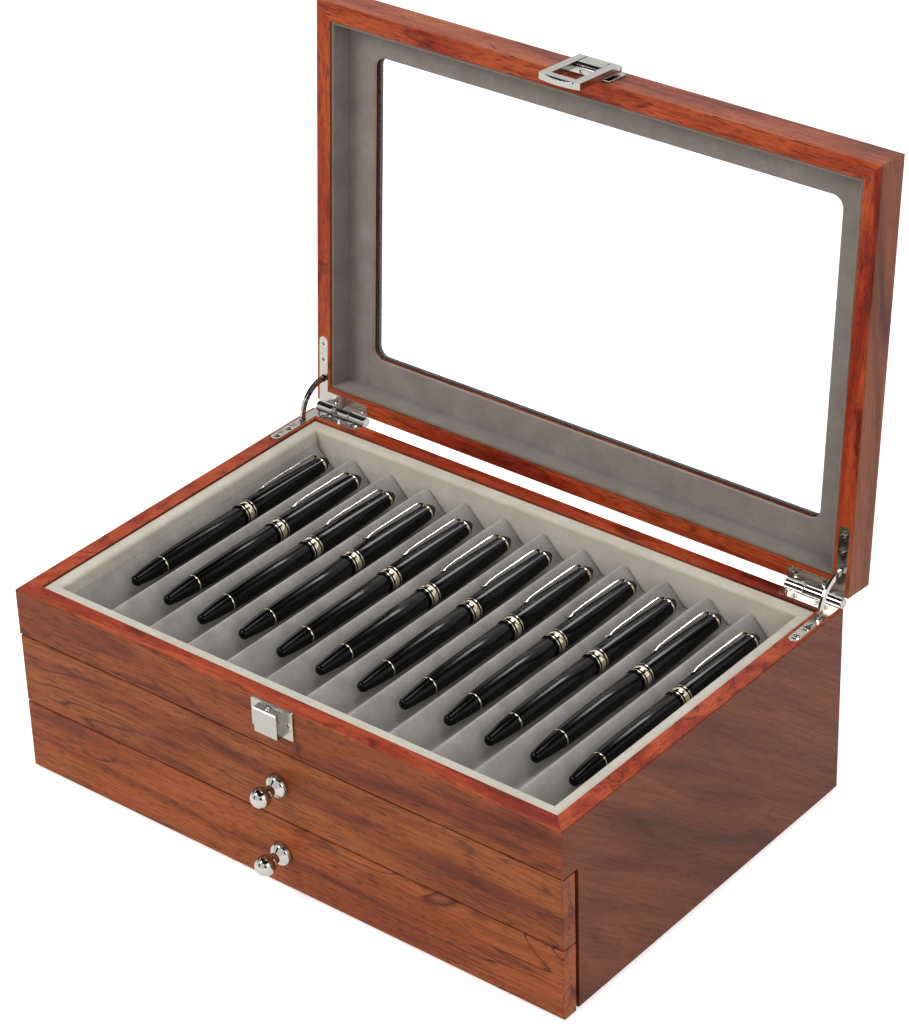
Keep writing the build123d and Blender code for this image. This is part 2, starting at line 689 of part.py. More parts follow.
# ---------------------------------------------------------------- catch on the front rail
BLOCK_TOP = CATCH_TOP - BLOCK_TOP_BELOW_PLATE
BLOCK_BOTTOM = BLOCK_TOP - BLOCK_HEIGHT
BALL_Z = BLOCK_TOP + BALL_PROUD - BALL_RADIUS
BALL_Y = -HALF_D - PLATE_THICKNESS - BALL_OUT
with BuildPart() as catch_plate:
    with BuildSketch(facing_front(-HALF_D, 0, CATCH_Z)):
        RectangleRounded(CATCH_WIDTH, CATCH_HEIGHT, CATCH_CORNER)
    extrude(amount=PLATE_THICKNESS)
    with BuildSketch(facing_front(-HALF_D - PLATE_THICKNESS, 0, (BLOCK_TOP + BLOCK_BOTTOM) / 2)):
        Rectangle(BLOCK_WIDTH, BLOCK_HEIGHT)
    extrude(amount=BLOCK_DEPTH)
    block_edges = catch_plate.faces().sort_by(Axis.Y)[0].edges()
    chamfer(block_edges, BLOCK_CHAMFER)
    with BuildSketch(level(BLOCK_TOP, 0, BALL_Y)):
        Circle(BALL_RADIUS + BALL_PLAY)
    extrude(amount=-BALL_SOCKET_DEPTH, mode=Mode.SUBTRACT)
    for plane in catch_screw_planes:
        add(screw_hole(plane), mode=Mode.SUBTRACT)
save(catch_plate.part, "catch_plate")
save(Compound(children=[screw(plane) for plane in catch_screw_planes]), "catch_screws")

# a ball with flat facets, from its lower to its upper pole
ball_stations = [
    (-BALL_RADIUS * cos(radians(angle)), BALL_RADIUS * sin(radians(angle))) for angle in range(15, 180, 30)
]
save(faceted(level(BALL_Z, 0, BALL_Y), ball_stations, BALL_SIDES), "catch_ball")


# ---------------------------------------------------------------- lid
lid_seats = seats(opened, LID_RIM)
HASP_PIN_Z = LID_RIM + HASP_PIN_UP
HASP_SCREW_X = (HASP_WIDTH + BLOCK_WIDTH) / 4
HASP_PLATE_Z = LID_RIM + HASP_PLATE_UP + HASP_PLATE_HEIGHT / 2
hasp_screw_planes = [
    opened(facing_front(-HALF_D - PLATE_THICKNESS, side * HASP_SCREW_X, HASP_PLATE_Z)) for side in (-1, 1)
]
for name, (seat, length) in lid_seats.items():
    with BuildPart() as lid_rail:
        add(mitred_board(seat, length, lid_section, LID_BORDER, LID_THICKNESS))
        if name == "front":
            for plane in hasp_screw_planes:
                add(screw_hole(plane), mode=Mode.SUBTRACT)
        else:
            for side in (-1, 1):
                if name in ("back", "left" if side < 0 else "right"):
                    add(lid_recesses[side], mode=Mode.SUBTRACT)
    save(lid_rail.part, "lid_rail_" + name)

WINDOW_W = CHEST_WIDTH - 2 * LID_BORDER
WINDOW_D = CHEST_DEPTH - 2 * LID_BORDER
GLASS_Z = LID_TOP - LID_FLANGE - GLASS_THICKNESS
BOARD_Z = GLASS_Z - BOARD_THICKNESS
with BuildPart() as glass_pane:
    with BuildSketch(opened(level(GLASS_Z))):
        Rectangle(WINDOW_W + 2 * GLASS_LAP, WINDOW_D + 2 * GLASS_LAP)
    extrude(amount=GLASS_THICKNESS)
save(glass_pane.part, "glass_pane")

with BuildPart() as window_board:
    with BuildSketch(opened(level(BOARD_Z))):
        Rectangle(2 * (INNER_W - SOFT_GAP), 2 * (INNER_D - SOFT_GAP))
        RectangleRounded(WINDOW_W, WINDOW_D, WINDOW_ROUND, mode=Mode.SUBTRACT)
    extrude(amount=BOARD_THICKNESS)
save(window_board.part, "window_board")


def lid_lining_section():
    """A thin wrapped strip between the lid's rim and the window board."""
    height = BOARD_Z - LID_RIM - LID_LINING_BELOW_RIM - SOFT_GAP / 2
    with BuildLine() as outline:
        Polyline((0, 0), (LID_LINING_THICKNESS, 0), (LID_LINING_THICKNESS, height), (0, height), close=True)
    make_face(outline.edges())


strip_seats = seats(opened, LID_RIM + LID_LINING_BELOW_RIM, INNER_W, INNER_D)
strips = [
    mitred_board(seat, length, lid_lining_section, LID_LINING_THICKNESS, LID_THICKNESS)
    for seat, length in strip_seats.values()
]
save(Compound(children=strips), "lid_wall_linings")

# ---------------------------------------------------------------- hasp
WINDOW_HALF = BLOCK_WIDTH / 2 + HASP_PLAY
WINDOW_LOW = BLOCK_BOTTOM - HASP_PLAY
WINDOW_HIGH = BLOCK_TOP + HASP_PLAY
HUMP_LOW = WINDOW_HIGH + HASP_TONGUE_HEIGHT + HUMP_FOOT_GAP
EYE_BACK = HASP_PIN_OUT - HASP_EYE_RADIUS
EYE_TOP = HASP_PIN_Z + HASP_EYE_RADIUS

with BuildPart() as hasp_plate:
    with BuildSketch(opened(facing_front(-HALF_D, 0, HASP_PLATE_Z))):
        RectangleRounded(HASP_PLATE_WIDTH, HASP_PLATE_HEIGHT, HASP_PLATE_CORNER)
    extrude(amount=PLATE_THICKNESS)
    # raised hump that carries the pin, drawn from the side: x outwards from the lid, y up
    hump_plane = opened(Plane((HUMP_WIDTH / 2, -HALF_D, 0), x_dir=(0, -1, 0), z_dir=(-1, 0, 0)))
    with BuildSketch(hump_plane):
        with BuildLine():
            Polyline(
                (HUMP_ROOT, HUMP_LOW),
                (HASP_FACE - HASP_SOFT, HUMP_LOW),
                (HASP_FACE, HUMP_LOW + HUMP_SLANT),
                (HASP_FACE, HASP_PIN_Z),
            )
            turn = HASP_EYE_RADIUS * DIAGONAL
            ThreePointArc(
                (HASP_FACE, HASP_PIN_Z),
                (HASP_PIN_OUT + turn, HASP_PIN_Z + turn),
                (HASP_PIN_OUT, EYE_TOP),
            )
            Polyline((HASP_PIN_OUT, EYE_TOP), (HUMP_ROOT, EYE_TOP), (HUMP_ROOT, HUMP_LOW))
        make_face()
    extrude(amount=HUMP_WIDTH)
    with BuildSketch(opened(facing_right(-HASP_WIDTH, -HALF_D - HASP_PIN_OUT, HASP_PIN_Z))):
        Circle(HASP_PIN_RADIUS + PIN_PLAY)
    extrude(amount=2 * HASP_WIDTH, mode=Mode.SUBTRACT)
    for plane in hasp_screw_planes:
        add(screw_hole(plane), mode=Mode.SUBTRACT)
save(hasp_plate.part, "hasp_plate")
save(Compound(children=[screw(plane) for plane in hasp_screw_planes]), "hasp_screws")

with BuildPart() as hasp_pin:
    pin_start = -HASP_WIDTH / 2 + HASP_PIN_INSET
    with BuildSketch(opened(facing_right(pin_start, -HALF_D - HASP_PIN_OUT, HASP_PIN_Z))):
        Circle(HASP_PIN_RADIUS)
    extrude(amount=HASP_WIDTH - 2 * HASP_PIN_INSET)
save(hasp_pin.part, "hasp_pin")

with BuildPart() as hasp_frame:
    # side view of the whole frame: x outwards from the lid, y up
    side_plane = opened(Plane((HASP_WIDTH / 2, -HALF_D, 0), x_dir=(0, -1, 0), z_dir=(-1, 0, 0)))
    frame_low = WINDOW_LOW - HASP_BAR - HASP_BOW
    with BuildSketch(side_plane):
        with BuildLine():
            Polyline(
                (EYE_BACK, HASP_PIN_Z),
                (HASP_BACK, HASP_PIN_Z - HASP_EYE_SLANT),
                (HASP_BACK, frame_low),
                (HASP_FACE - HASP_SOFT, frame_low),
                (HASP_FACE, frame_low + HASP_SOFT),
                (HASP_FACE, HASP_PIN_Z),
            )
            ThreePointArc((HASP_FACE, HASP_PIN_Z), (HASP_PIN_OUT, EYE_TOP), (EYE_BACK, HASP_PIN_Z))
        make_face()
    extrude(amount=HASP_WIDTH)
    face_plane = opened(facing_front(-HALF_D + OVER, 0, 0))
    # the bowed lower end
    with BuildSketch(face_plane):
        with BuildLine():
            low, half = frame_low + HASP_BOW, HASP_WIDTH / 2
            wide, under = half + OVER, frame_low - OVER
            ThreePointArc((-half, low), (0, frame_low), (half, low))
            Polyline((half, low), (wide, low), (wide, under), (-wide, under), (-wide, low), (-half, low))
        make_face()
    extrude(amount=HASP_FACE + 2 * OVER, mode=Mode.SUBTRACT)
    # the window, up to the hump's foot in front and to the tongue behind
    window_middle = (WINDOW_LOW + WINDOW_HIGH) / 2
    with BuildSketch(opened(facing_front(-HALF_D - HASP_BACK + OVER, 0, window_middle))):
        Rectangle(2 * WINDOW_HALF, WINDOW_HIGH - WINDOW_LOW)
    extrude(amount=HASP_FACE, mode=Mode.SUBTRACT)
    tongue_face = HASP_BACK + HASP_TONGUE_THICKNESS
    with BuildSketch(opened(facing_front(-HALF_D - tongue_face, 0, WINDOW_HIGH))):
        Rectangle(2 * WINDOW_HALF, 2 * HASP_TONGUE_HEIGHT)
    extrude(amount=HASP_FACE, mode=Mode.SUBTRACT)
    # between the arms, above the tongue
    open_low = WINDOW_HIGH + HASP_TONGUE_HEIGHT
    open_high = EYE_TOP + OVER
    with BuildSketch(opened(facing_front(-HALF_D + OVER, 0, (open_low + open_high) / 2))):
        Rectangle(2 * WINDOW_HALF, open_high - open_low)
    extrude(amount=HASP_FACE + 2 * OVER, mode=Mode.SUBTRACT)
    with BuildSketch(opened(facing_right(-HASP_WIDTH, -HALF_D - HASP_PIN_OUT, HASP_PIN_Z))):
        Circle(HASP_PIN_RADIUS + PIN_PLAY)
    extrude(amount=2 * HASP_WIDTH, mode=Mode.SUBTRACT)
    # dent for the catch's ball
    with BuildSketch(opened(level(BLOCK_TOP, 0, BALL_Y))):
        Circle(BALL_RADIUS)
    extrude(amount=BALL_PROUD + HASP_PLAY / 2, mode=Mode.SUBTRACT)
save(hasp_frame.part, "hasp_frame")

# ---------------------------------------------------------------- drawers
BOX_HALF_W = INNER_W - BOX_SIDE_PLAY
BOX_FRONT_Y = -HALF_D + FRONT_THICKNESS
BOX_REAR_Y = INNER_D - BOX_REAR_PLAY
BOX_INNER_W = BOX_HALF_W - BOX_BOARD


def board_with_groove(low, high, bottom_z):
    """A drawer board with the groove for the drawer's bottom."""
    with BuildPart() as board:
        add(slab(low, high))
        reach_x = BOX_INNER_W + BOX_BOARD / 2
        rear = BOX_REAR_Y - BOX_BOARD / 2
        front = BOX_FRONT_Y - GROOVE_DEPTH
        with BuildSketch(level(bottom_z - PANEL_PLAY, 0, (front + rear) / 2)):
            Rectangle(2 * reach_x, rear - front)
        extrude(amount=BOX_BOTTOM + 2 * PANEL_PLAY, mode=Mode.SUBTRACT)
    return board.part


def drawer_knob(z):
    """A turned knob: bell flange, neck and ball, with a stud that goes into the drawer's front."""
    stations = [(KNOB_FLANGE_THICKNESS * out, KNOB_FLANGE_RADIUS * wide) for out, wide in KNOB_BELL]
    stations.append((KNOB_FLANGE_THICKNESS, KNOB_NECK_RADIUS))
    for angle in map(radians, KNOB_BALL_ANGLES):
        stations.append((KNOB_BALL_OUT - KNOB_BALL_RADIUS * cos(angle), KNOB_BALL_RADIUS * sin(angle)))
    with BuildPart() as knob:
        add(faceted(facing_front(-HALF_D, 0, z), stations, KNOB_SIDES))
        with BuildSketch(facing_front(-HALF_D + KNOB_STUD_LENGTH, 0, z)):
            RegularPolygon(KNOB_STUD_RADIUS, SCREW_SIDES)
        extrude(amount=KNOB_STUD_LENGTH)
    return knob.part


for drawer, front_z in (("lower", FELT_THICKNESS), ("upper", FELT_THICKNESS + FRONT_PITCH)):
    box_z = front_z + BOTTOM_THICKNESS + RUNNING_GAP
    box_top = box_z + BOX_HEIGHT
    bottom_z = box_z + BOX_BOTTOM_UP
    bottom_top = bottom_z + BOX_BOTTOM
    knob_z = front_z + FRONT_HEIGHT / 2
    node = drawer + "_drawer_"

    with BuildPart() as drawer_front:
        with BuildSketch(facing_front(BOX_FRONT_Y, 0, knob_z)):
            Rectangle(CHEST_WIDTH, FRONT_HEIGHT)
        extrude(amount=FRONT_THICKNESS)
        chamfer(drawer_front.faces().sort_by(Axis.Y)[0].edges(), EDGE_SOFT)
        with BuildSketch(level(bottom_z - PANEL_PLAY, 0, BOX_FRONT_Y)):
            Rectangle(2 * (BOX_INNER_W + BOX_BOARD / 2), 2 * GROOVE_DEPTH)
        extrude(amount=BOX_BOTTOM + 2 * PANEL_PLAY, mode=Mode.SUBTRACT)
        with BuildSketch(facing_front(-HALF_D, 0, knob_z)):
            RegularPolygon(KNOB_STUD_RADIUS + KNOB_STUD_PLAY, SCREW_SIDES)
        extrude(amount=-KNOB_STUD_LENGTH - KNOB_STUD_PLAY, mode=Mode.SUBTRACT)
    save(drawer_front.part, node + "front")

    for name, side in (("left", -1), ("right", 1)):
        x_low, x_high = sorted((side * BOX_INNER_W, side * BOX_HALF_W))
        board = board_with_groove((x_low, BOX_FRONT_Y, box_z), (x_high, BOX_REAR_Y, box_top), bottom_z)
        save(board, node + "side_" + name)
    rear_low = (-BOX_INNER_W, BOX_REAR_Y - BOX_BOARD, box_z)
    save(board_with_groove(rear_low, (BOX_INNER_W, BOX_REAR_Y, box_top), bottom_z), node + "back")
    reach_x = BOX_INNER_W + BOX_BOARD / 2 - PANEL_PLAY
    bottom_rear = BOX_REAR_Y - BOX_BOARD / 2 - PANEL_PLAY
    bottom_front = BOX_FRONT_Y - GROOVE_DEPTH + PANEL_PLAY
    save(slab((-reach_x, bottom_front, bottom_z), (reach_x, bottom_rear, bottom_top)), node + "bottom")

    # suede strips on the four inner faces
    lined_w = BOX_INNER_W - BOX_LINING
    lined_front = BOX_FRONT_Y + BOX_LINING
    lined_rear = BOX_REAR_Y - BOX_BOARD - BOX_LINING
    soft_z = bottom_top + PANEL_PLAY + SOFT_GAP
    soft_top = box_top - BOX_LINING_DOWN
    linings = [
        slab((-BOX_INNER_W, BOX_FRONT_Y + PANEL_PLAY, soft_z), (BOX_INNER_W, lined_front, soft_top)),
        slab((-BOX_INNER_W, lined_rear, soft_z), (BOX_INNER_W, BOX_REAR_Y - BOX_BOARD, soft_top)),
        slab((-BOX_INNER_W, lined_front, soft_z), (-lined_w, lined_rear, soft_top)),
        slab((lined_w, lined_front, soft_z), (BOX_INNER_W, lined_rear, soft_top)),
    ]
    save(Compound(children=linings), node + "linings")
    room = (lined_w - SOFT_GAP, lined_front + SOFT_GAP, lined_rear - SOFT_GAP)
    ridges = ridge_strips(*room, bottom_top, DRAWER_RIDGE_HEIGHT, False)
    save(ridges, node + "ridges")
    save(drawer_knob(knob_z), node + "knob")

# ---------------------------------------------------------------- pens
PITCH = 2 * TRAY_HALF_W / GROOVES
FLANK = ridge_slope(RIDGE_HEIGHT, PITCH / 2 - VALLEY_HALF_WIDTH)
PEN_Z = TRAY_TOP + (PEN_CAP_RADIUS + PEN_CLEAR - VALLEY_HALF_WIDTH * sin(FLANK)) / cos(FLANK)
PEN_TIP_Y = INNER_D - LINING_THICKNESS - PEN_REAR_GAP - max(PEN_STAGGER) - PEN_LENGTH


def pen_piece(x, y, stations):
    """A piece of a pen that points to the rear, from its (distance from the tip, radius) stations."""
    return faceted(Plane((x, y, PEN_Z), x_dir=(1, 0, 0), z_dir=(0, 1, 0)), stations, PEN_SIDES)


BARREL_STATIONS = (
    (0, PEN_TIP_FLAT * PEN_TIP_RADIUS),
    (PEN_TIP_RADIUS, PEN_TIP_RADIUS),
    (PEN_RING_AT, PEN_RING_RADIUS),
    (PEN_CAP_AT * PEN_FULL_AT, PEN_BARREL_RADIUS),
    (PEN_CAP_AT, PEN_BARREL_RADIUS),
)
CAP_TAPER = PEN_LENGTH - PEN_CAP_AT - PEN_CAP_STRAIGHT
CAP_STATIONS = (
    (PEN_CAP_AT, PEN_CAP_RADIUS),
    (PEN_CAP_AT + PEN_CAP_STRAIGHT, PEN_CAP_RADIUS),
    (PEN_CAP_AT + PEN_CAP_STRAIGHT + CAP_TAPER / 2, PEN_CAP_WAIST * PEN_CAP_RADIUS),
    *((PEN_LENGTH - back * PEN_CAP_END_RADIUS, wide * PEN_CAP_END_RADIUS) for back, wide in PEN_CAP_DOME),
)


def pen_clip(x, y):
    """A flat clip over the cap, held at its upper end and free above the band."""
    lower = PEN_CLIP_AT - PEN_CLIP_LENGTH
    out = PEN_CAP_RADIUS + PEN_CLIP_STAND
    seat = PEN_CAP_END_RADIUS + PEN_CLIP_SEAT
    inner_slope, outer_slope = PEN_CLIP_SLOPE
    with BuildPart() as clip:
        with BuildSketch(Plane((x - PEN_CLIP_WIDTH / 2, y, PEN_Z), x_dir=(0, 1, 0), z_dir=(1, 0, 0))):
            with BuildLine():
                Polyline(
                    (lower, out),
                    (PEN_CLIP_AT - inner_slope, out),
                    (PEN_CLIP_AT, seat),
                    (PEN_CLIP_AT + PEN_CLIP_ROOT, seat),
                    (PEN_CLIP_AT + PEN_CLIP_ROOT, seat + PEN_CLIP_THICKNESS),
                    (PEN_CLIP_AT - outer_slope, out + PEN_CLIP_THICKNESS),
                    (lower, out + PEN_CLIP_THICKNESS),
                    close=True,
                )
            make_face()
        extrude(amount=PEN_CLIP_WIDTH)
    return clip.part


pen_places = [
    (-TRAY_HALF_W + PITCH * (index + 0.5), PEN_TIP_Y + PEN_STAGGER[index % len(PEN_STAGGER)])
    for index in range(GROOVES)
]
save(Compound(children=[pen_piece(x, y, BARREL_STATIONS) for x, y in pen_places]), "pen_barrels")
save(Compound(children=[pen_piece(x, y, CAP_STATIONS) for x, y in pen_places]), "pen_caps")
save(Compound(children=[pen_clip(x, y) for x, y in pen_places]), "pen_clips")
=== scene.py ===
"""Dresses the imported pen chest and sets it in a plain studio.

All lengths are metres in the row frame: origin in the middle of the underside, +Z up, the
drawers towards -Y. Pieces that ride on the lid are worked out for a shut lid and then swung
about the hinge axis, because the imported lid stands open.
"""

import logging
import math
from dataclasses import dataclass, field
from enum import Enum
from functools import cached_property
from typing import Callable, Sequence

import bmesh
import bpy
import numpy as np
from mathutils import Matrix, Vector


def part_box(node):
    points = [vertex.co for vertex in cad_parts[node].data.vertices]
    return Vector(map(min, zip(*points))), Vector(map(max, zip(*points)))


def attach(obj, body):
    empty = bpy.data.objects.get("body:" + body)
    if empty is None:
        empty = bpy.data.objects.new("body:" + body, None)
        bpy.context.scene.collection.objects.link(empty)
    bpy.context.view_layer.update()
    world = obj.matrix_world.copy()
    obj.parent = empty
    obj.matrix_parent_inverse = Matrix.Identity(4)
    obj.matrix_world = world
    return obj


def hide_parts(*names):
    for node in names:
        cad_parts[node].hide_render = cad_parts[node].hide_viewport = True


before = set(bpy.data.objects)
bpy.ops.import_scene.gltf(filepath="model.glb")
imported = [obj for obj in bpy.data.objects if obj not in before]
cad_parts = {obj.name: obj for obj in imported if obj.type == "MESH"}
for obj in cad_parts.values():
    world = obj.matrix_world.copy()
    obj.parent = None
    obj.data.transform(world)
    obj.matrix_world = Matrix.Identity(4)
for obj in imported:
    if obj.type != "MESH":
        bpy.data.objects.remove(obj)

LOG = logging.getLogger("pen_chest")
MM = 0.001
SIDES = ("front", "right", "back", "left")
CORNERS = np.array([[-1, -1], [1, -1], [1, 1], [-1, 1]])
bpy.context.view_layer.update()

Array = np.ndarray
Socket = bpy.types.NodeSocket
Material = bpy.types.Material
Tone = tuple[float, float, float]
Place = Callable[[Array], Array]


# ------------------------------------------------------------------ driving sizes
@dataclass(frozen=True)
class ChestSizes:
    """Sizes that several sub-assemblies share, in metres."""

    half_width: float = 165.0 * MM
    half_depth: float = 110.0 * MM
    rim: float = 105.0 * MM
    wall: float = 9.0 * MM
    lid_gap: float = 0.4 * MM
    lid_thickness: float = 20.0 * MM
    lid_border: float = 27.0 * MM
    lid_flange: float = 3.0 * MM
    glass: float = 2.0 * MM
    window_board: float = 1.6 * MM
    open_angle: float = 94.0
    axis_behind: float = 3.0 * MM
    leaf_from_side: float = 4.5 * MM
    lining: float = 7.0 * MM
    strip: float = 2.0 * MM
    lining_below_rim: float = 1.0 * MM
    tray_floor: float = 83.45 * MM
    soft_gap: float = 0.3 * MM
    grooves: int = 12
    ridge_height: float = 11.0 * MM

    @property
    def inner_width(self) -> float:
        """Half the width between the case's sides."""
        return self.half_width - self.wall

    @property
    def inner_depth(self) -> float:
        """Half the depth between the rail and the back."""
        return self.half_depth - self.wall

    @property
    def lid_rim(self) -> float:
        """Height of the shut lid's lower edge."""
        return self.rim + self.lid_gap

    @property
    def axis(self) -> Array:
        """A point on the hinge axis."""
        return np.array([0.0, self.half_depth + self.axis_behind, self.rim + self.lid_gap / 2])


SIZES = ChestSizes()


def opened(points: Array) -> Array:
    """Swings points of a shut lid to the open lid's place.

    The turn is about the hinge axis, which runs along X: y and z are rotated by the open angle.

    Args:
        points: Array of shape (..., 3) for the shut lid.

    Returns:
        The turned points in the same shape.
    """
    turn = math.radians(SIZES.open_angle)
    offset = points - SIZES.axis
    y = offset[..., 1] * math.cos(turn) + offset[..., 2] * math.sin(turn)
    z = -offset[..., 1] * math.sin(turn) + offset[..., 2] * math.cos(turn)
    return np.stack([offset[..., 0], y, z], -1) + SIZES.axis


def as_is(points: Array) -> Array:
    """Leaves points where they are, for pieces of the case."""
    return points


# ------------------------------------------------------------------ node helpers
class Nodes:
    """A thin helper that adds and joins shader nodes."""

    def __init__(self, owner: Material | bpy.types.World) -> None:
        """Takes up the tree of a material or a world and its surface shader.

        Args:
            owner: The material or world to build.
        """
        owner.use_nodes = True
        self.tree = owner.node_tree
        self.shader = self.tree.nodes.get("Principled BSDF") or self.tree.nodes["Background"]

    @cached_property
    def coordinates(self) -> Socket:
        """Object coordinates, from one shared node."""
        return self.add("ShaderNodeTexCoord").outputs["Object"]

    def feed(self, value: object, target: Socket) -> None:
        """Links a socket to an input, or sets the input to a number, a vector or a colour."""
        if isinstance(value, Socket):
            self.tree.links.new(value, target)
        elif isinstance(value, (int, float)) or len(value) == len(target.default_value):
            target.default_value = value
        else:
            target.default_value = (*value, 1.0)

    def add(self, kind: str, **values: object) -> bpy.types.Node:
        """Adds a node and sets the named inputs or properties.

        Args:
            kind: Blender's node class.
            values: Input names, with underscores for spaces, or node properties.

        Returns:
            The new node.
        """
        node = self.tree.nodes.new(kind)
        for name, value in values.items():
            target = node.inputs.get(name.replace("_", " "))
            if target is None:
                setattr(node, name, value)
            else:
                self.feed(value, target)
        return node

    def surface(self, **values: object) -> None:
        """Sets or links inputs of the surface shader, named with underscores for spaces."""
        for name, value in values.items():
            self.feed(value, self.shader.inputs[name.replace("_", " ")])

    def calc(self, operation: str, first: object, second: object) -> Socket:
        """The result of an operation on two sockets or numbers."""
        node = self.add("ShaderNodeMath", operation=operation)
        self.feed(first, node.inputs[0])
        self.feed(second, node.inputs[1])
        return node.outputs[0]

    def mapped(self, scale: Sequence[float], turn: Sequence[float] = (0, 0, 0),
               shift: Sequence[float] = (0, 0, 0)) -> Socket:
        """Object coordinates turned, shifted and scaled.

        Args:
            scale: Scale along the three axes.
            turn: Euler angles in degrees, applied before the scale.
            shift: Offset added after turning.

        Returns:
            The vector socket.
        """
        turned = self.add("ShaderNodeMapping", Vector=self.coordinates,
                          Rotation=[math.radians(a) for a in turn], Location=shift)
        return self.add("ShaderNodeMapping", Vector=turned.outputs["Vector"], Scale=scale).outputs["Vector"]

    def noise(self, vector: Socket, scale: float, detail: float = 4.0, roughness: float = 0.55,
              distortion: float = 0.0) -> Socket:
        """A noise value.

        Args:
            vector: Where it is read.
            scale: Its frequency.
            detail: Octaves.
            roughness: Weight of the fine octaves.
            distortion: How far it folds over itself.

        Returns:
            The factor socket.
        """
        return self.add("ShaderNodeTexNoise", Vector=vector, Scale=scale, Detail=detail,
                        Roughness=roughness, Distortion=distortion).outputs["Fac"]

    def ramp(self, factor: Socket, stops: Sequence[tuple[float, Tone]]) -> Socket:
        """A colour ramp over pairs of position and linear colour."""
        node = self.add("ShaderNodeValToRGB")
        self.feed(factor, node.inputs["Fac"])
        elements = node.color_ramp.elements
        while len(elements) < len(stops):
            elements.new(0.5)
        for element, (position, colour) in zip(elements, stops):
            element.position = position
            element.color = (*colour, 1.0)
        return node.outputs["Color"]

    def remap(self, value: Socket, low: float, high: float, to_low: float = 0.0,
              to_high: float = 1.0) -> Socket:
        """A value carried from one range to another and kept inside it."""
        return self.add("ShaderNodeMapRange", Value=value, From_Min=low, From_Max=high,
                        To_Min=to_low, To_Max=to_high).outputs["Result"]

    def mix(self, factor: object, first: object, second: object) -> Socket:
        """Two colours, as sockets or linear colours, mixed by a socket or number."""
        node = self.add("ShaderNodeMix", data_type="RGBA")
        for value, index in ((factor, 0), (first, 6), (second, 7)):
            self.feed(value, node.inputs[index])
        return node.outputs[2]

    def bump(self, height: Socket, strength: float, distance: float) -> None:
        """Puts a bump on the surface shader.

        Args:
            height: Height value.
            strength: Bump strength.
            distance: Height of the bump in metres.
        """
        node = self.add("ShaderNodeBump", Height=height, Strength=strength, Distance=distance)
        self.surface(Normal=node.outputs["Normal"])


def linear(red: float, green: float, blue: float) -> Tone:
    """Turns a display colour from 0 to 255 into a linear one."""
    return tuple((channel / 255.0) ** 2.2 for channel in (red, green, blue))


# ------------------------------------------------------------------ finishes
class Grain(Enum):
    """Which way a board's veneer runs: Euler turns in degrees that bring its length onto X."""

    ACROSS = (0.0, 0.0, 0.0)
    DEEP = (0.0, 0.0, -90.0)
    UPRIGHT = (0.0, 90.0, 0.0)


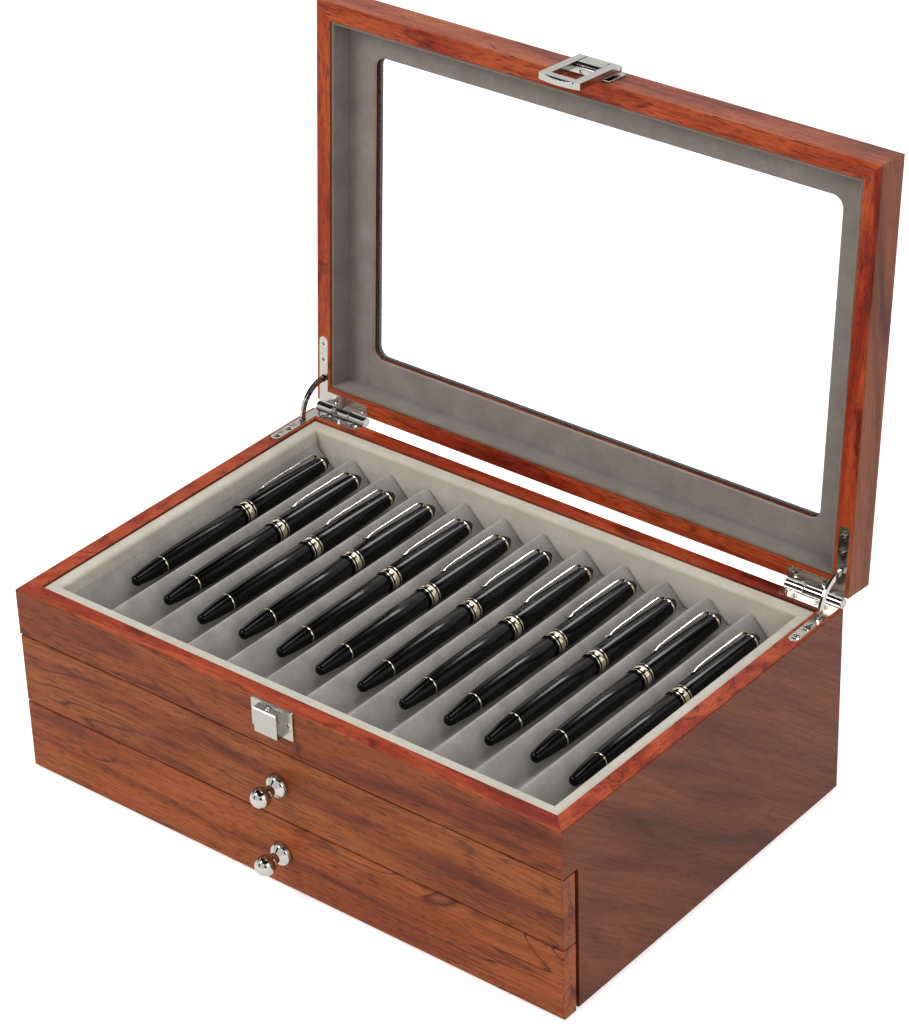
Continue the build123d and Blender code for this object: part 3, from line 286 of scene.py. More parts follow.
@dataclass(frozen=True)
class VeneerFinish:
    """Satin red-brown veneer with fibres, thin veins and short dark pores.

    Attributes:
        name: Material name.
        grain: Direction of the grain.
        tilt: Turn of the grain within a side face, in degrees.
        light: Display colour of the light wood.
        middle: Display colour of most of the wood.
        dark: Display colour of the figure.
        seed: Shift that gives each board its own figure.
        veins: Strength of the thin dark veins.
        fibres: Strength of the darker fibres and of the pores.
        lines: How many level lines of the slow field fall between its lowest and highest value.
        rim: Whether the raised rims show a redder cut.
    """

    name: str
    grain: Grain = Grain.ACROSS
    tilt: float = 0.0
    light: Tone = (160, 85, 45)
    middle: Tone = (131, 62, 32)
    dark: Tone = (70, 28, 14)
    seed: float = 0.0
    veins: float = 0.9
    fibres: float = 0.62
    lines: float = 22.0
    rim: bool = True

    def build(self) -> Material:
        """Builds the material.

        Returns:
            The veneer. Every field is noise stretched along the grain: broad bands, fine fibres,
            short pores and dark clouds on the rims. Veins are the level lines of a slow field,
            seen only in patches.
        """
        material = bpy.data.materials.new(self.name)
        nodes = Nodes(material)
        x, y, z = self.grain.value
        turn = (x + self.tilt, y, z)
        seed = (self.seed, self.seed * 0.7, self.seed * 0.4)

        def stretched(along: float, across: float, *shape: float) -> Socket:
            """Noise with one frequency along the grain and another across it."""
            return nodes.noise(nodes.mapped((along, across, across), turn, seed), 1.0, *shape)

        broad = stretched(7.0, 52.0, 4.0, 0.55, 0.8)
        slow = stretched(3.2, 22.0, 3.0, 0.55, 1.0)
        fibre = stretched(24.0, 1000.0, 4.0, 0.7, 0.3)
        pore = stretched(130.0, 2600.0, 1.0, 0.5)
        patch = stretched(6.0, 18.0, 2.0)
        colour = self.figured(nodes, broad, (self.dark, self.middle, self.light))
        veined = nodes.mix(self.vein_mask(nodes, slow, patch), colour, linear(*self.dark))
        colour = self.fibred(nodes, veined, fibre, pore)
        if self.rim:
            red = self.figured(nodes, broad, ((96, 24, 12), (158, 54, 28), (196, 88, 50)))
            cloud = nodes.remap(stretched(30.0, 110.0, 3.0, 0.6, 1.4), 0.54, 0.68, 0.0, 0.75)
            red = nodes.mix(cloud, red, linear(84, 22, 12))
            colour = nodes.mix(self.rim_mask(nodes), colour, self.fibred(nodes, red, fibre, pore))
        nodes.surface(Base_Color=colour, Roughness=nodes.remap(fibre, 0.3, 0.7, 0.36, 0.52),
                      Specular_IOR_Level=0.16)
        nodes.bump(fibre, 0.2, 0.1 * MM)
        return material

    @staticmethod
    def figured(nodes: Nodes, bands: Socket, tones: Sequence[Tone]) -> Socket:
        """Broad bands from dark over middle to light wood and back."""
        dark, middle, light = (linear(*tone) for tone in tones)
        return nodes.ramp(bands, ((0.26, dark), (0.42, middle), (0.58, light), (0.76, middle)))

    def vein_mask(self, nodes: Nodes, slow: Socket, patch: Socket) -> Socket:
        """Thin level lines of a slow field, kept only where the patch field is high.

        The slow field times the number of lines is folded to a zigzag between 0 and 1, and the
        veins are where the zigzag is close to its top.
        """
        fold = nodes.calc("PINGPONG", nodes.calc("MULTIPLY", slow, self.lines), 1.0)
        line = nodes.remap(fold, 0.84, 1.0, 0.0, self.veins)
        return nodes.calc("MULTIPLY", line, nodes.remap(patch, 0.49, 0.62))

    def fibred(self, nodes: Nodes, colour: Socket, fibre: Socket, pore: Socket) -> Socket:
        """Darker fibres, then short near-black pores."""
        soft = nodes.mix(nodes.remap(fibre, 0.44, 0.72, 0.0, self.fibres), colour, linear(66, 28, 16))
        return nodes.mix(nodes.remap(pore, 0.59, 0.68, 0.0, 1.3 * self.fibres), soft, linear(50, 20, 11))

    @staticmethod
    def rim_mask(nodes: Nodes) -> Socket:
        """One where a point lies on the rim of the case or on the open lid's rim.

        The case's rim is the plane z = rim. The open lid's rim plane passes through the shut
        lid's edge swung open, and its normal is the shut lid's upward axis swung open. Points
        above the case belong to the lid.
        """
        height = nodes.add("ShaderNodeSeparateXYZ", Vector=nodes.coordinates).outputs["Z"]
        case = nodes.remap(height, SIZES.rim - 0.35 * MM, SIZES.rim - 0.1 * MM)
        corner = np.array([0.0, -SIZES.half_depth, SIZES.lid_rim])
        edge = opened(corner)
        inward = opened(corner + np.array([0.0, 0.0, 1.0])) - edge
        along = nodes.add("ShaderNodeVectorMath", operation="DOT_PRODUCT")
        nodes.feed(nodes.coordinates, along.inputs[0])
        nodes.feed(tuple(inward), along.inputs[1])
        start = float(edge @ inward)
        near = nodes.remap(along.outputs["Value"], start + 0.1 * MM, start + 0.35 * MM, 1.0, 0.0)
        above = nodes.remap(height, SIZES.rim + 1.0 * MM, SIZES.rim + 1.2 * MM)
        on_case = nodes.calc("MULTIPLY", case, nodes.calc("SUBTRACT", 1.0, above))
        return nodes.calc("MAXIMUM", on_case, nodes.calc("MULTIPLY", near, above))


@dataclass(frozen=True)
class SuedeFinish:
    """Napped cloth: two close tones, a fine fibre bump, a soft sheen and, on a grooved sheet, painted shade
    low down.

    Attributes:
        name: Material name.
        tone: Display colour of the raised nap.
        shade: Display colour of the flattened nap.
        sheen: Weight of the sheen.
        grooves: Lowest and highest height of a grooved sheet, which is painted darker low down as shade.
        groove_painted_shade: Display colour of the painted shade at the bottom of a groove.
    """

    name: str
    tone: Tone
    shade: Tone
    sheen: float = 0.35
    grooves: tuple[float, float] | None = None
    groove_painted_shade: Tone = (92, 89, 83)

    def build(self) -> Material:
        """Builds the material."""
        material = bpy.data.materials.new(self.name)
        nodes = Nodes(material)
        place = nodes.mapped((1.0, 1.0, 1.0))
        nap = nodes.noise(place, 70.0, 3.0, 0.6)
        fibre = nodes.noise(place, 850.0, 3.0, 0.8)
        colour = nodes.ramp(nap, ((0.30, linear(*self.shade)), (0.70, linear(*self.tone))))
        if self.grooves is not None:
            height = nodes.add("ShaderNodeSeparateXYZ", Vector=nodes.coordinates).outputs["Z"]
            # Painted shade: the colour darkens towards the bottom of the grooves, standing in for the shade
            # there.
            colour = nodes.mix(nodes.remap(height, *self.grooves, 0.85, 0.0), colour, linear(*self.groove_painted_shade))
        speckled = nodes.mix(nodes.remap(fibre, 0.38, 0.62, 0.0, 0.55), colour, linear(*self.shade))
        nodes.bump(fibre, 0.5, 0.2 * MM)
        nodes.surface(Base_Color=speckled, Roughness=0.95, Sheen_Weight=self.sheen, Sheen_Roughness=0.6)
        return material


@dataclass(frozen=True)
class PlainFinish:
    """A finish of one colour: plated metal, resin, board or felt."""

    name: str
    colour: Tone
    metallic: float = 0.0
    roughness: float = 0.5
    specular: float = 0.5
    grain: float = 0.0

    def build(self) -> Material:
        """Builds the material, with a faint mottling when grain is above nought."""
        material = bpy.data.materials.new(self.name)
        nodes = Nodes(material)
        nodes.surface(Base_Color=linear(*self.colour), Metallic=self.metallic, Roughness=self.roughness,
                      Specular_IOR_Level=self.specular)
        if self.grain > 0:
            nodes.bump(nodes.noise(nodes.mapped((1.0, 1.0, 1.0)), 900.0, 3.0), self.grain, 0.1 * MM)
        return material


@dataclass(frozen=True)
class GlassFinish:
    """Clear window glass that lets the studio show through."""

    name: str = "clear window glass"

    def build(self) -> Material:
        """Builds the material."""
        material = bpy.data.materials.new(self.name)
        Nodes(material).surface(Base_Color=(0.97, 0.985, 0.98), Roughness=0.0, IOR=1.45,
                                Transmission_Weight=1.0, Alpha=0.06)
        return material


class Palette:
    """Every finish of the chest, built once."""

    def __init__(self) -> None:
        """Builds the materials."""
        upper = VeneerFinish("upper drawer veneer", light=(167, 93, 49), middle=(139, 69, 34), seed=0.83)
        lower = VeneerFinish("lower drawer veneer", light=(178, 95, 50), middle=(149, 73, 37), seed=1.61)
        self.front = VeneerFinish("front veneer", seed=0.13).build()
        self.drawers = {"upper": upper.build(), "lower": lower.build()}
        self.side = VeneerFinish("side veneer", Grain.DEEP, 38.0, (126, 67, 36), (104, 49, 25), (76, 33, 17),
                                 seed=0.4, veins=0.35, fibres=0.5).build()
        self.back = VeneerFinish("back veneer", seed=2.2).build()
        self.lid_long = VeneerFinish("lid veneer along", light=(186, 98, 60), middle=(158, 72, 42),
                                     seed=3.1).build()
        self.lid_short = VeneerFinish("lid veneer upright", Grain.UPRIGHT, 0.0, (158, 92, 54), (136, 73, 42),
                                      (84, 36, 20), seed=0.9, veins=0.35, fibres=0.45).build()
        self.panel = VeneerFinish("plain panel board", light=(160, 112, 80), middle=(146, 98, 68),
                                  dark=(112, 70, 46), seed=4.0, veins=0.2, rim=False).build()
        self.lining = SuedeFinish("pale suede of the rim linings", (214, 207, 192), (192, 185, 170)).build()
        # The trays' suede is painted darker low in its grooves, as shade.
        self.tray = SuedeFinish("grey suede of the trays", (174, 170, 161), (136, 133, 125), 0.5,
                                (SIZES.tray_floor, SIZES.tray_floor + SIZES.ridge_height)).build()
        self.drawer_suede = SuedeFinish("grey suede of the drawers", (166, 162, 153), (138, 134, 126),
                                        0.5).build()
        self.lid_suede = SuedeFinish("grey suede of the lid", (150, 140, 130), (126, 116, 106)).build()
        # Painted shade: the lid strips' suede is a darker copy of the lid's suede, standing in for the shade
        # on the walls inside the lid.
        self.lid_strip_painted_shade = SuedeFinish("lid strip suede darkened as painted shade", (132, 120, 109), (108, 97, 87)).build()
        self.felt = PlainFinish("dark base felt", (34, 30, 30), roughness=0.95, grain=0.6).build()
        self.chrome = PlainFinish("bright plating", (184, 182, 176), 1.0, 0.07).build()
        self.plate = PlainFinish("soft bright plating", (172, 170, 163), 1.0, 0.16).build()
        self.satin = PlainFinish("satin plating", (168, 166, 158), 1.0, 0.26).build()
        self.gold = PlainFinish("pale gold plating", (224, 216, 188), 1.0, 0.12).build()
        self.silver = PlainFinish("silvered clips", (236, 234, 226), 1.0, 0.12).build()
        self.resin = PlainFinish("black resin", (8, 8, 8), roughness=0.16, specular=0.16).build()
        # Dark finish of the thin band along the wood's edge inside the window.
        self.dark = PlainFinish("dark band finish", (26, 18, 15), roughness=0.9).build()
        self.glass = GlassFinish().build()


# ------------------------------------------------------------------ mesh helpers
def outward(points: Array, faces: Sequence[Array]) -> list[Array]:
    """Turns the faces of a closed surface so that they point out of it.

    The enclosed volume is a sixth of the sum of a . (b x c) over the triangles that fan out from
    each face's first corner. Where it is negative, every face is reversed.

    Args:
        points: Vertices, shape (n, 3).
        faces: Groups of faces, each of shape (faces, corners).

    Returns:
        The groups, reversed where needed.
    """
    volume = 0.0
    for group in faces:
        corners = points[group]
        volume += np.sum(corners[:, :1] * np.cross(corners[:, 1:-1], corners[:, 2:]))
    return [group if volume > 0 else group[:, ::-1] for group in faces]


def finished(name: str, mesh: bpy.types.Mesh, finish: Material, body: str,
             smooth_below: float) -> bpy.types.Object:
    """Shades a mesh, gives it its finish and sets it on its body.

    Args:
        name: Name of the piece.
        mesh: Its mesh, in the row frame.
        finish: Its material.
        body: The body that it moves with.
        smooth_below: Edges flatter than this angle, in degrees, are shaded smooth.

    Returns:
        The object.
    """
    mesh.polygons.foreach_set("use_smooth", np.ones(len(mesh.polygons), bool))
    mesh.set_sharp_from_angle(angle=math.radians(smooth_below))
    mesh.materials.clear()
    mesh.materials.append(finish)
    piece = bpy.data.objects.new(name, mesh)
    bpy.context.scene.collection.objects.link(piece)
    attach(piece, body)
    LOG.info("%s: %d faces", name, len(mesh.polygons))
    return piece


def softened(node: str, body: str, finish: Material, width: float) -> None:
    """Replaces a packed plate by a copy whose sharp edges are rounded.

    The copy is merged and its flat triangles are joined before the edges are rounded.

    Args:
        node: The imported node.
        body: The body that carries it.
        finish: Its material.
        width: Width of the rounding in metres.
    """
    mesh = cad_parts[node].data.copy()
    shape = bmesh.new()
    shape.from_mesh(mesh)
    bmesh.ops.remove_doubles(shape, verts=shape.verts, dist=0.005 * MM)
    bmesh.ops.dissolve_limit(shape, angle_limit=math.radians(1.0), verts=shape.verts, edges=shape.edges)
    bmesh.ops.recalc_face_normals(shape, faces=shape.faces)
    shape.to_mesh(mesh)
    shape.free()
    piece = finished(f"{node}_softened", mesh, finish, body, 30.0)
    soft = piece.modifiers.new("rounded edges", "BEVEL")
    soft.width = width
    soft.segments = 3
    soft.limit_method = "ANGLE"
    soft.angle_limit = math.radians(40.0)
    soft.harden_normals = True
    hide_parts(node)


def dress(node: str, finish: Material) -> None:
    """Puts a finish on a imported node."""
    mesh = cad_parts[node].data
    mesh.materials.clear()
    mesh.materials.append(finish)
    LOG.info("dressed %s", node)


def grid_faces(rows: int, columns: int, wrap: bool) -> Array:
    """Quads of a grid of vertices stored row by row.

    Args:
        rows: Number of rows.
        columns: Number of columns.
        wrap: Whether the last column joins the first.

    Returns:
        Index array of shape (n, 4).
    """
    across = np.arange(columns if wrap else columns - 1)
    down = np.arange(rows - 1)[:, None] * columns
    beside = (across + 1) % columns
    quads = np.stack([down + across, down + beside, down + columns + beside, down + columns + across], -1)
    return quads.reshape(-1, 4)


@dataclass
class Shell:
    """Vertices and faces of closed surfaces that are gathered into one mesh."""

    points: list[Array] = field(default_factory=list)
    faces: list[Array] = field(default_factory=list)
    count: int = 0

    def add(self, points: Array, faces: Sequence[Array]) -> None:
        """Adds one closed surface.

        Args:
            points: Its vertices, shape (..., 3).
            faces: Groups of faces whose indices start at nought.
        """
        flat = points.reshape(-1, 3)
        self.faces += [group + self.count for group in outward(flat, faces)]
        self.points.append(flat)
        self.count += len(flat)

    def tube(self, rings: Array) -> None:
        """Adds a tube of rings, shape (stations, around, 3), closed by a face at each end."""
        rows, columns = rings.shape[:2]
        end = np.arange(columns)[None]
        self.add(rings, [grid_faces(rows, columns, True), end[:, ::-1], end + (rows - 1) * columns])

    def loop(self, rings: Array) -> None:
        """Adds a tube of rings, shape (stations, around, 3), whose last ring joins the first."""
        rows, columns = rings.shape[:2]
        self.add(rings, [grid_faces(rows + 1, columns, True) % (rows * columns)])

    def piece(self, name: str, finish: Material, slot: str, body: str, smooth_below: float = 35.0,
              replaced: Sequence[str] = ()) -> None:
        """Makes the finished piece.

        Args:
            name: Its name, whose spaces become underscores.
            finish: Its material.
            slot: Name of a material slot; not used.
            body: The body that it moves with.
            smooth_below: Edges flatter than this angle, in degrees, are shaded smooth.
            replaced: CAD nodes that it stands for.
        """
        name = name.replace(" ", "_")
        points = np.concatenate(self.points)
        mesh = bpy.data.meshes.new(name)
        corners = np.concatenate([group.ravel() for group in self.faces]).astype(np.int32)
        sizes = np.concatenate([np.full(len(group), group.shape[1]) for group in self.faces])
        mesh.vertices.add(len(points))
        mesh.vertices.foreach_set("co", points.astype(np.float32).ravel())
        mesh.loops.add(len(corners))
        mesh.loops.foreach_set("vertex_index", corners)
        mesh.polygons.add(len(sizes))
        mesh.polygons.foreach_set("loop_start", (np.cumsum(sizes) - sizes).astype(np.int32))
        mesh.update(calc_edges=True)
        mesh.validate()
        piece = finished(name, mesh, finish, body, smooth_below)
        if replaced:
            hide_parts(*replaced)


def frame_axes(direction: Array) -> tuple[Array, Array]:
    """Two unit vectors square to a direction, so that the three are right-handed."""
    direction = direction / np.linalg.norm(direction)
    helper = np.array([1.0, 0.0, 0.0]) if abs(direction[0]) < 0.9 else np.array([0.0, 1.0, 0.0])
    first = np.cross(helper, direction)
    first /= np.linalg.norm(first)
    return first, np.cross(direction, first)


def turned_rings(profile: Array, origin: Array, direction: Array, sides: int) -> Array:
    """Rings of a turned form.

    A ring at distance d with radius r is origin + d * direction + r * (cos t * u + sin t * v),
    where u and v are square to the direction.

    Args:
        profile: Shape (stations, 2): distance along the direction and radius.
        origin: Start of the axis.
        direction: Unit vector along the axis.
        sides: Points round each ring.

    Returns:
        Array of shape (stations, sides, 3).
    """
    first, second = frame_axes(direction)
    turn = np.linspace(0, 2 * np.pi, sides, endpoint=False)[None, :, None]
    distance, radius = profile[:, 0, None, None], profile[:, 1, None, None]
    return origin + distance * direction + radius * (np.cos(turn) * first + np.sin(turn) * second)


def arc(centre: Sequence[float], radius: float, start: float, end: float, steps: int) -> Array:
    """Points on an arc: centre + radius * (cos a, sin a), angles in degrees."""
    angle = np.radians(np.linspace(start, end, steps))
    return np.stack([centre[0] + radius * np.cos(angle), centre[1] + radius * np.sin(angle)], -1)


def rounded_rings(stations: Sequence[tuple[float, float, float, float]]) -> Array:
    """Level rounded rectangles, one per station.

    Each is four quarter circles joined by straight sides, counter-clockwise from the right.

    Args:
        stations: Half width, half depth, corner radius and height of each.

    Returns:
        Array of shape (stations, points, 3).
    """
    quarters = ((1, 1, 0), (-1, 1, 90), (-1, -1, 180), (1, -1, 270))
    rings = []
    for half_w, half_d, corner, height in stations:
        straight = np.array([half_w - corner, half_d - corner])
        flat = np.concatenate([arc(straight * (x, y), corner, start, start + 90, 10)
                               for x, y, start in quarters])
        rings.append(np.concatenate([flat, np.full((len(flat), 1), height)], 1))
    return np.stack(rings)


def mitred_rings(profile: Array, half_w: float, half_d: float, corner: int, steps: int) -> Array:
    """A section carried along one side of a rectangle, with both ends mitred.

    The section's first coordinate is how far a point lies inside the rectangle. It moves the
    point inwards and shortens the side at both ends by the same amount.

    Args:
        profile: Shape (n, 2): inward distance and height.
        half_w: Half width of the rectangle.
        half_d: Half depth of the rectangle.
        corner: 0 front, 1 right, 2 back, 3 left.
        steps: Stations along the side.

    Returns:
        Array of shape (steps, n, 3).
    """
    inward, height = profile[:, 0], profile[:, 1]
    reach = (half_w if corner % 2 == 0 else half_d) - inward
    offset = (half_d if corner % 2 == 0 else half_w) - inward
    along = np.linspace(-1, 1, steps)[:, None] * reach[None]
    out = np.broadcast_to(-offset[None], along.shape)
    quarter = corner * np.pi / 2
    x = along * np.cos(quarter) - out * np.sin(quarter)
    y = along * np.sin(quarter) + out * np.cos(quarter)
    return np.stack([x, y, np.broadcast_to(height[None], along.shape)], -1)


def mitred_frame(prefix: str, profile: Array, half_w: float, half_d: float, steps: int, place: Place,
                 finish: Material, body: str, replaced: Sequence[Sequence[str]]) -> None:
    """Makes four mitred suede pieces round a rectangle.

    Args:
        prefix: Start of the names; the side follows.
        profile: Section of one piece: inward distance and height.
        half_w: Half width of the rectangle at the section's origin.
        half_d: Half depth of the rectangle.
        steps: Stations along each side.
        place: Where the pieces go.
        finish: Suede.
        body: Body that carries them.
        replaced: CAD nodes that the front, right, back and left pieces stand for.
    """
    for corner, (side, nodes) in enumerate(zip(SIDES, replaced)):
        shell = Shell()
        shell.tube(place(mitred_rings(profile, half_w, half_d, corner, steps)))
        shell.piece(f"{prefix} {side}", finish, "suede", body, 50.0, nodes)


# ------------------------------------------------------------------ fasteners and turned fittings
@dataclass
class CrossScrews:
    """Countersunk screws with a cross recess, seen from their heads."""

    radius: float = 2.15 * MM
    dome: float = 0.15 * MM
    slot_half: float = 0.33 * MM
    slot_reach: float = 1.3 * MM
    slot_depth: float = 0.8 * MM
    skirt: float = 0.5 * MM
    rings: int = 16
    sides: int = 64

    def head(self, origin: Array, normal: Array) -> Array:
        """One head as a height over polar coordinates.

        The height is a shallow dome, dome * (1 - (r/R)^2), less the depth of the cross where a
        point lies within half a slot's width of either arm and inside the arms' reach.

        Args:
            origin: Middle of the head on the surface it sits in.
            normal: Unit vector out of the surface.

        Returns:
            Rings of vertices from the middle outwards, the last one sunk into the surface.
        """
        first, second = frame_axes(normal)
        radius = np.linspace(0.02, 1.0, self.rings)[:, None] * self.radius
        turn = np.linspace(0, 2 * np.pi, self.sides, endpoint=False)[None]
        x, y = radius * np.cos(turn), radius * np.sin(turn)
        inside = (np.minimum(np.abs(x), np.abs(y)) < self.slot_half) & (radius < self.slot_reach)
        height = self.dome * (1 - (radius / self.radius) ** 2) - self.slot_depth * inside
        points = origin + x[..., None] * first + y[..., None] * second + height[..., None] * normal
        return np.concatenate([points, (points[-1] - self.skirt * normal)[None]])

    def build(self, name: str, places: Sequence[tuple[Array, Array]], finish: Material, body: str,
              *replaced: str) -> None:
        """Makes a group of heads that stands for CAD screws.

        Args:
            name: Name of the group.
            places: Pairs of origin and outward vector.
            finish: Plating.
            body: Body that carries them.
            replaced: CAD nodes that they stand for.
        """
        shell = Shell()
        for origin, direction in places:
            shell.tube(self.head(np.asarray(origin, float), np.asarray(direction, float)))
        shell.piece(name, finish, "chrome", body, 30.0, replaced)


@dataclass
class DrawerKnob:
    """Turned knob: bell flange, waist and ball."""

    flange: float = 6.2 * MM
    flange_height: float = 5.0 * MM
    foot_height: float = 1.7 * MM
    neck: float = 2.7 * MM
    ball: float = 5.2 * MM
    ball_out: float = 12.0 * MM
    sides: int = 64

    def profile(self) -> Array:
        """Distance and radius: a foot, a concave bell, a straight neck and three quarters of a circle."""
        foot = np.array([[0.0, 0.97 * self.flange], [0.3 * MM, self.flange], [1.3 * MM, self.flange],
                         [self.foot_height, 0.96 * self.flange]])
        share = np.linspace(0, 1, 14)[1:, None]
        bell = np.concatenate([
            self.foot_height + (self.flange_height - self.foot_height) * share,
            self.neck + (0.96 * self.flange - self.neck) * np.cos(share * np.pi / 2) ** 1.15,
        ], 1)
        meet = math.degrees(math.asin(self.neck / self.ball))
        angle = np.radians(np.linspace(meet, 179.0, 40))
        ball = np.stack([self.ball_out - self.ball * np.cos(angle), self.ball * np.sin(angle)], -1)
        return np.concatenate([foot, bell, ball])

    def build(self, node: str, body: str, finish: Material) -> None:
        """Makes the knob in place of its CAD node, on the same axis."""
        low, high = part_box(node)
        origin = np.array([0.0, -SIZES.half_depth, (low.z + high.z) / 2])
        shell = Shell()
        shell.tube(turned_rings(self.profile(), origin, np.array([0.0, -1.0, 0.0]), self.sides))
        shell.piece(node, finish, "chrome", body, 40.0, [node])


# ------------------------------------------------------------------ soft linings
@dataclass
class Linings:
    """Suede-wrapped boards round the compartment and inside the lid."""

    round_over: float = 2.2 * MM
    top_round: float = 1.0 * MM

    def board_profile(self) -> Array:
        """Section of a case lining: up the outside, over two rounded corners, down the inside."""
        s = SIZES
        top = s.rim - s.lining_below_rim
        outer = arc((self.top_round, top - self.top_round), self.top_round, 180, 90, 5)
        inner = arc((s.lining - self.round_over, top - self.round_over), self.round_over, 90, 0, 8)
        low = np.array([[s.lining, s.tray_floor + 0.1 * MM], [0.0, s.tray_floor + 0.1 * MM]])
        return np.concatenate([outer, inner, low])

    def strip_profile(self) -> Array:
        """Section of a lid lining in the shut lid: a thin wrapped strip with a rounded lower edge."""
        s = SIZES
        low = s.lid_rim + 0.8 * MM
        top = s.lid_rim + s.lid_thickness - s.lid_flange - s.glass - s.window_board - 0.05 * MM
        edge = arc((s.strip / 2, low + s.strip / 2), s.strip / 2, 180, 360, 9)
        return np.concatenate([edge, np.array([[s.strip, top], [0.0, top]])])[::-1]

    def build(self, palette: Palette) -> None:
        """Makes both sets of linings."""
        s = SIZES
        mitred_frame("lining", self.board_profile(), s.inner_width, s.inner_depth, 24, as_is,
                     palette.lining, "case", [[f"lining_{side}"] for side in SIDES])
        # The lid's strips take the suede darkened as painted shade.
        mitred_frame("lid lining", self.strip_profile(), s.inner_width, s.inner_depth, 24, opened,
                     palette.lid_strip_painted_shade, "lid", [["lid_wall_linings"], [], [], []])


@dataclass
class WindowBoard:
    """Suede-covered board round the lid's window with a soft inner edge, and the wood's dark edge."""

    corner: float = 6.0 * MM
    edge: float = 0.7 * MM
    bedding: float = 0.02 * MM
    dark_band: float = 0.25 * MM

    def build(self, palette: Palette) -> None:
        """Makes the board as rings from its outer edge over the face to the window and back.

        A thin dark band inside the window covers the wood's edge between its two faces over the glass.
        """
        s = SIZES
        window_w, window_d = s.half_width - s.lid_border, s.half_depth - s.lid_border
        outer_w, outer_d = s.inner_width - s.soft_gap, s.inner_depth - s.soft_gap
        back = s.lid_rim + s.lid_thickness - s.lid_flange - s.glass - self.bedding
        front = back - s.window_board + self.bedding
        shell = Shell()
        shell.loop(opened(rounded_rings([
            (outer_w, outer_d, 0.5 * MM, back), (outer_w, outer_d, 0.5 * MM, front),
            (window_w + self.edge, window_d + self.edge, self.corner + self.edge, front),
            (window_w + 0.3 * self.edge, window_d + 0.3 * self.edge, self.corner, front + 0.3 * self.edge),
            (window_w, window_d, self.corner, front + self.edge), (window_w, window_d, self.corner, back),
        ])))
        shell.piece("window board", palette.lid_suede, "suede", "lid", 50.0, ["window_board"])
        low = back + s.glass
        high = low + s.lid_flange - 0.1 * MM
        # A thin dark band along the wood's edge inside the window.
        shell = Shell()
        shell.loop(opened(rounded_rings([
            (window_w - inset, window_d - inset, self.corner - inset, height)
            for inset, height in ((0.0, low), (0.0, high), (self.dark_band, high), (self.dark_band, low))
        ])))
        shell.piece("window edge liner", palette.dark, "panel", "lid", 50.0)


@dataclass
class GroovedTray:
    """One sheet of suede laid over ridges, with soft valleys and rounded ridge ends."""

    ridge_round: float = 1.7 * MM
    valley_round: float = 6.0 * MM
    valley_flat: float = 0.8 * MM
    end_round: float = 2.6 * MM
    samples: int = 40

    def heights(self, share: Array, pitch: float, height: float) -> Array:
        """Height over one pitch, from valley to valley.

        A straight flank rises from the valley's middle to the ridge's middle. A smooth minimum
        rounds the ridge and a smooth maximum rounds the valley.

        Args:
            share: Distance from the valley's middle as a share of half a pitch, 0 to 1.
            pitch: Width of one groove.
            height: Height of the ridge.

        Returns:
            Height above the base.
        """
        flat = share * pitch / 2
        flank = (flat - self.valley_flat) * (height + 0.5 * MM) / (pitch / 2 - self.valley_flat)
        soft = 0.5 * (flank + np.sqrt(flank ** 2 + (self.valley_round / 5) ** 2))
        below = height - soft
        return height - 0.5 * (below + np.sqrt(below ** 2 + (self.ridge_round / 2.6) ** 2)) + 0.12 * MM

    def build(self, name: str, body: str, finish: Material, low: Vector, high: Vector,
              replaced: Sequence[str]) -> None:
        """Makes the sheet as a height over the tray's rectangle, closed below.

        At both ends the height falls by a quarter circle of the end's rounding, in full at the
        ridges and by about a third in the valleys.

        Args:
            name: Name of the piece.
            body: Body that carries it.
            finish: Suede.
            low: Lowest corner of the tray.
            high: Highest corner of the tray.
            replaced: CAD nodes that it stands for.
        """
        count = SIZES.grooves * self.samples + 1
        x = np.linspace(low.x, high.x, count)
        pitch = (high.x - low.x) / SIZES.grooves
        place = (x - low.x) / pitch
        share = 2 * np.abs(place - np.floor(place) - 0.5)
        crest = self.heights(share, pitch, high.z - low.z - 0.3 * MM)
        inset = np.linspace(0, self.end_round, 7)
        drop = self.end_round - np.sqrt(np.clip(self.end_round ** 2 - (self.end_round - inset) ** 2, 0, None))
        y = np.concatenate([low.y + inset, [0.5 * (low.y + high.y)], (high.y - inset)[::-1]])
        fall = np.concatenate([drop, [0.0], drop[::-1]])
        share_of_fall = 0.35 + 0.65 * crest[None] / crest.max()
        scaled = np.clip(crest[None] - fall[:, None] * share_of_fall, 0.3 * MM, None)
        top = np.stack(np.broadcast_arrays(x[None], y[:, None], low.z + scaled), -1)
        rows = len(y) + 2
        front, rear = (np.stack([x, np.full(count, end), np.full(count, low.z)], -1) for end in (y[0], y[-1]))
        edge = np.arange(rows)[None] * count
        under = np.array([[0, count - 1, rows * count - 1, (rows - 1) * count]])
        shell = Shell()
        shell.add(np.concatenate([front[None], top, rear[None]]),
                  [grid_faces(rows, count, False), edge, edge[:, ::-1] + count - 1, under])
        shell.piece(name, finish, "suede", body, 60.0, replaced)


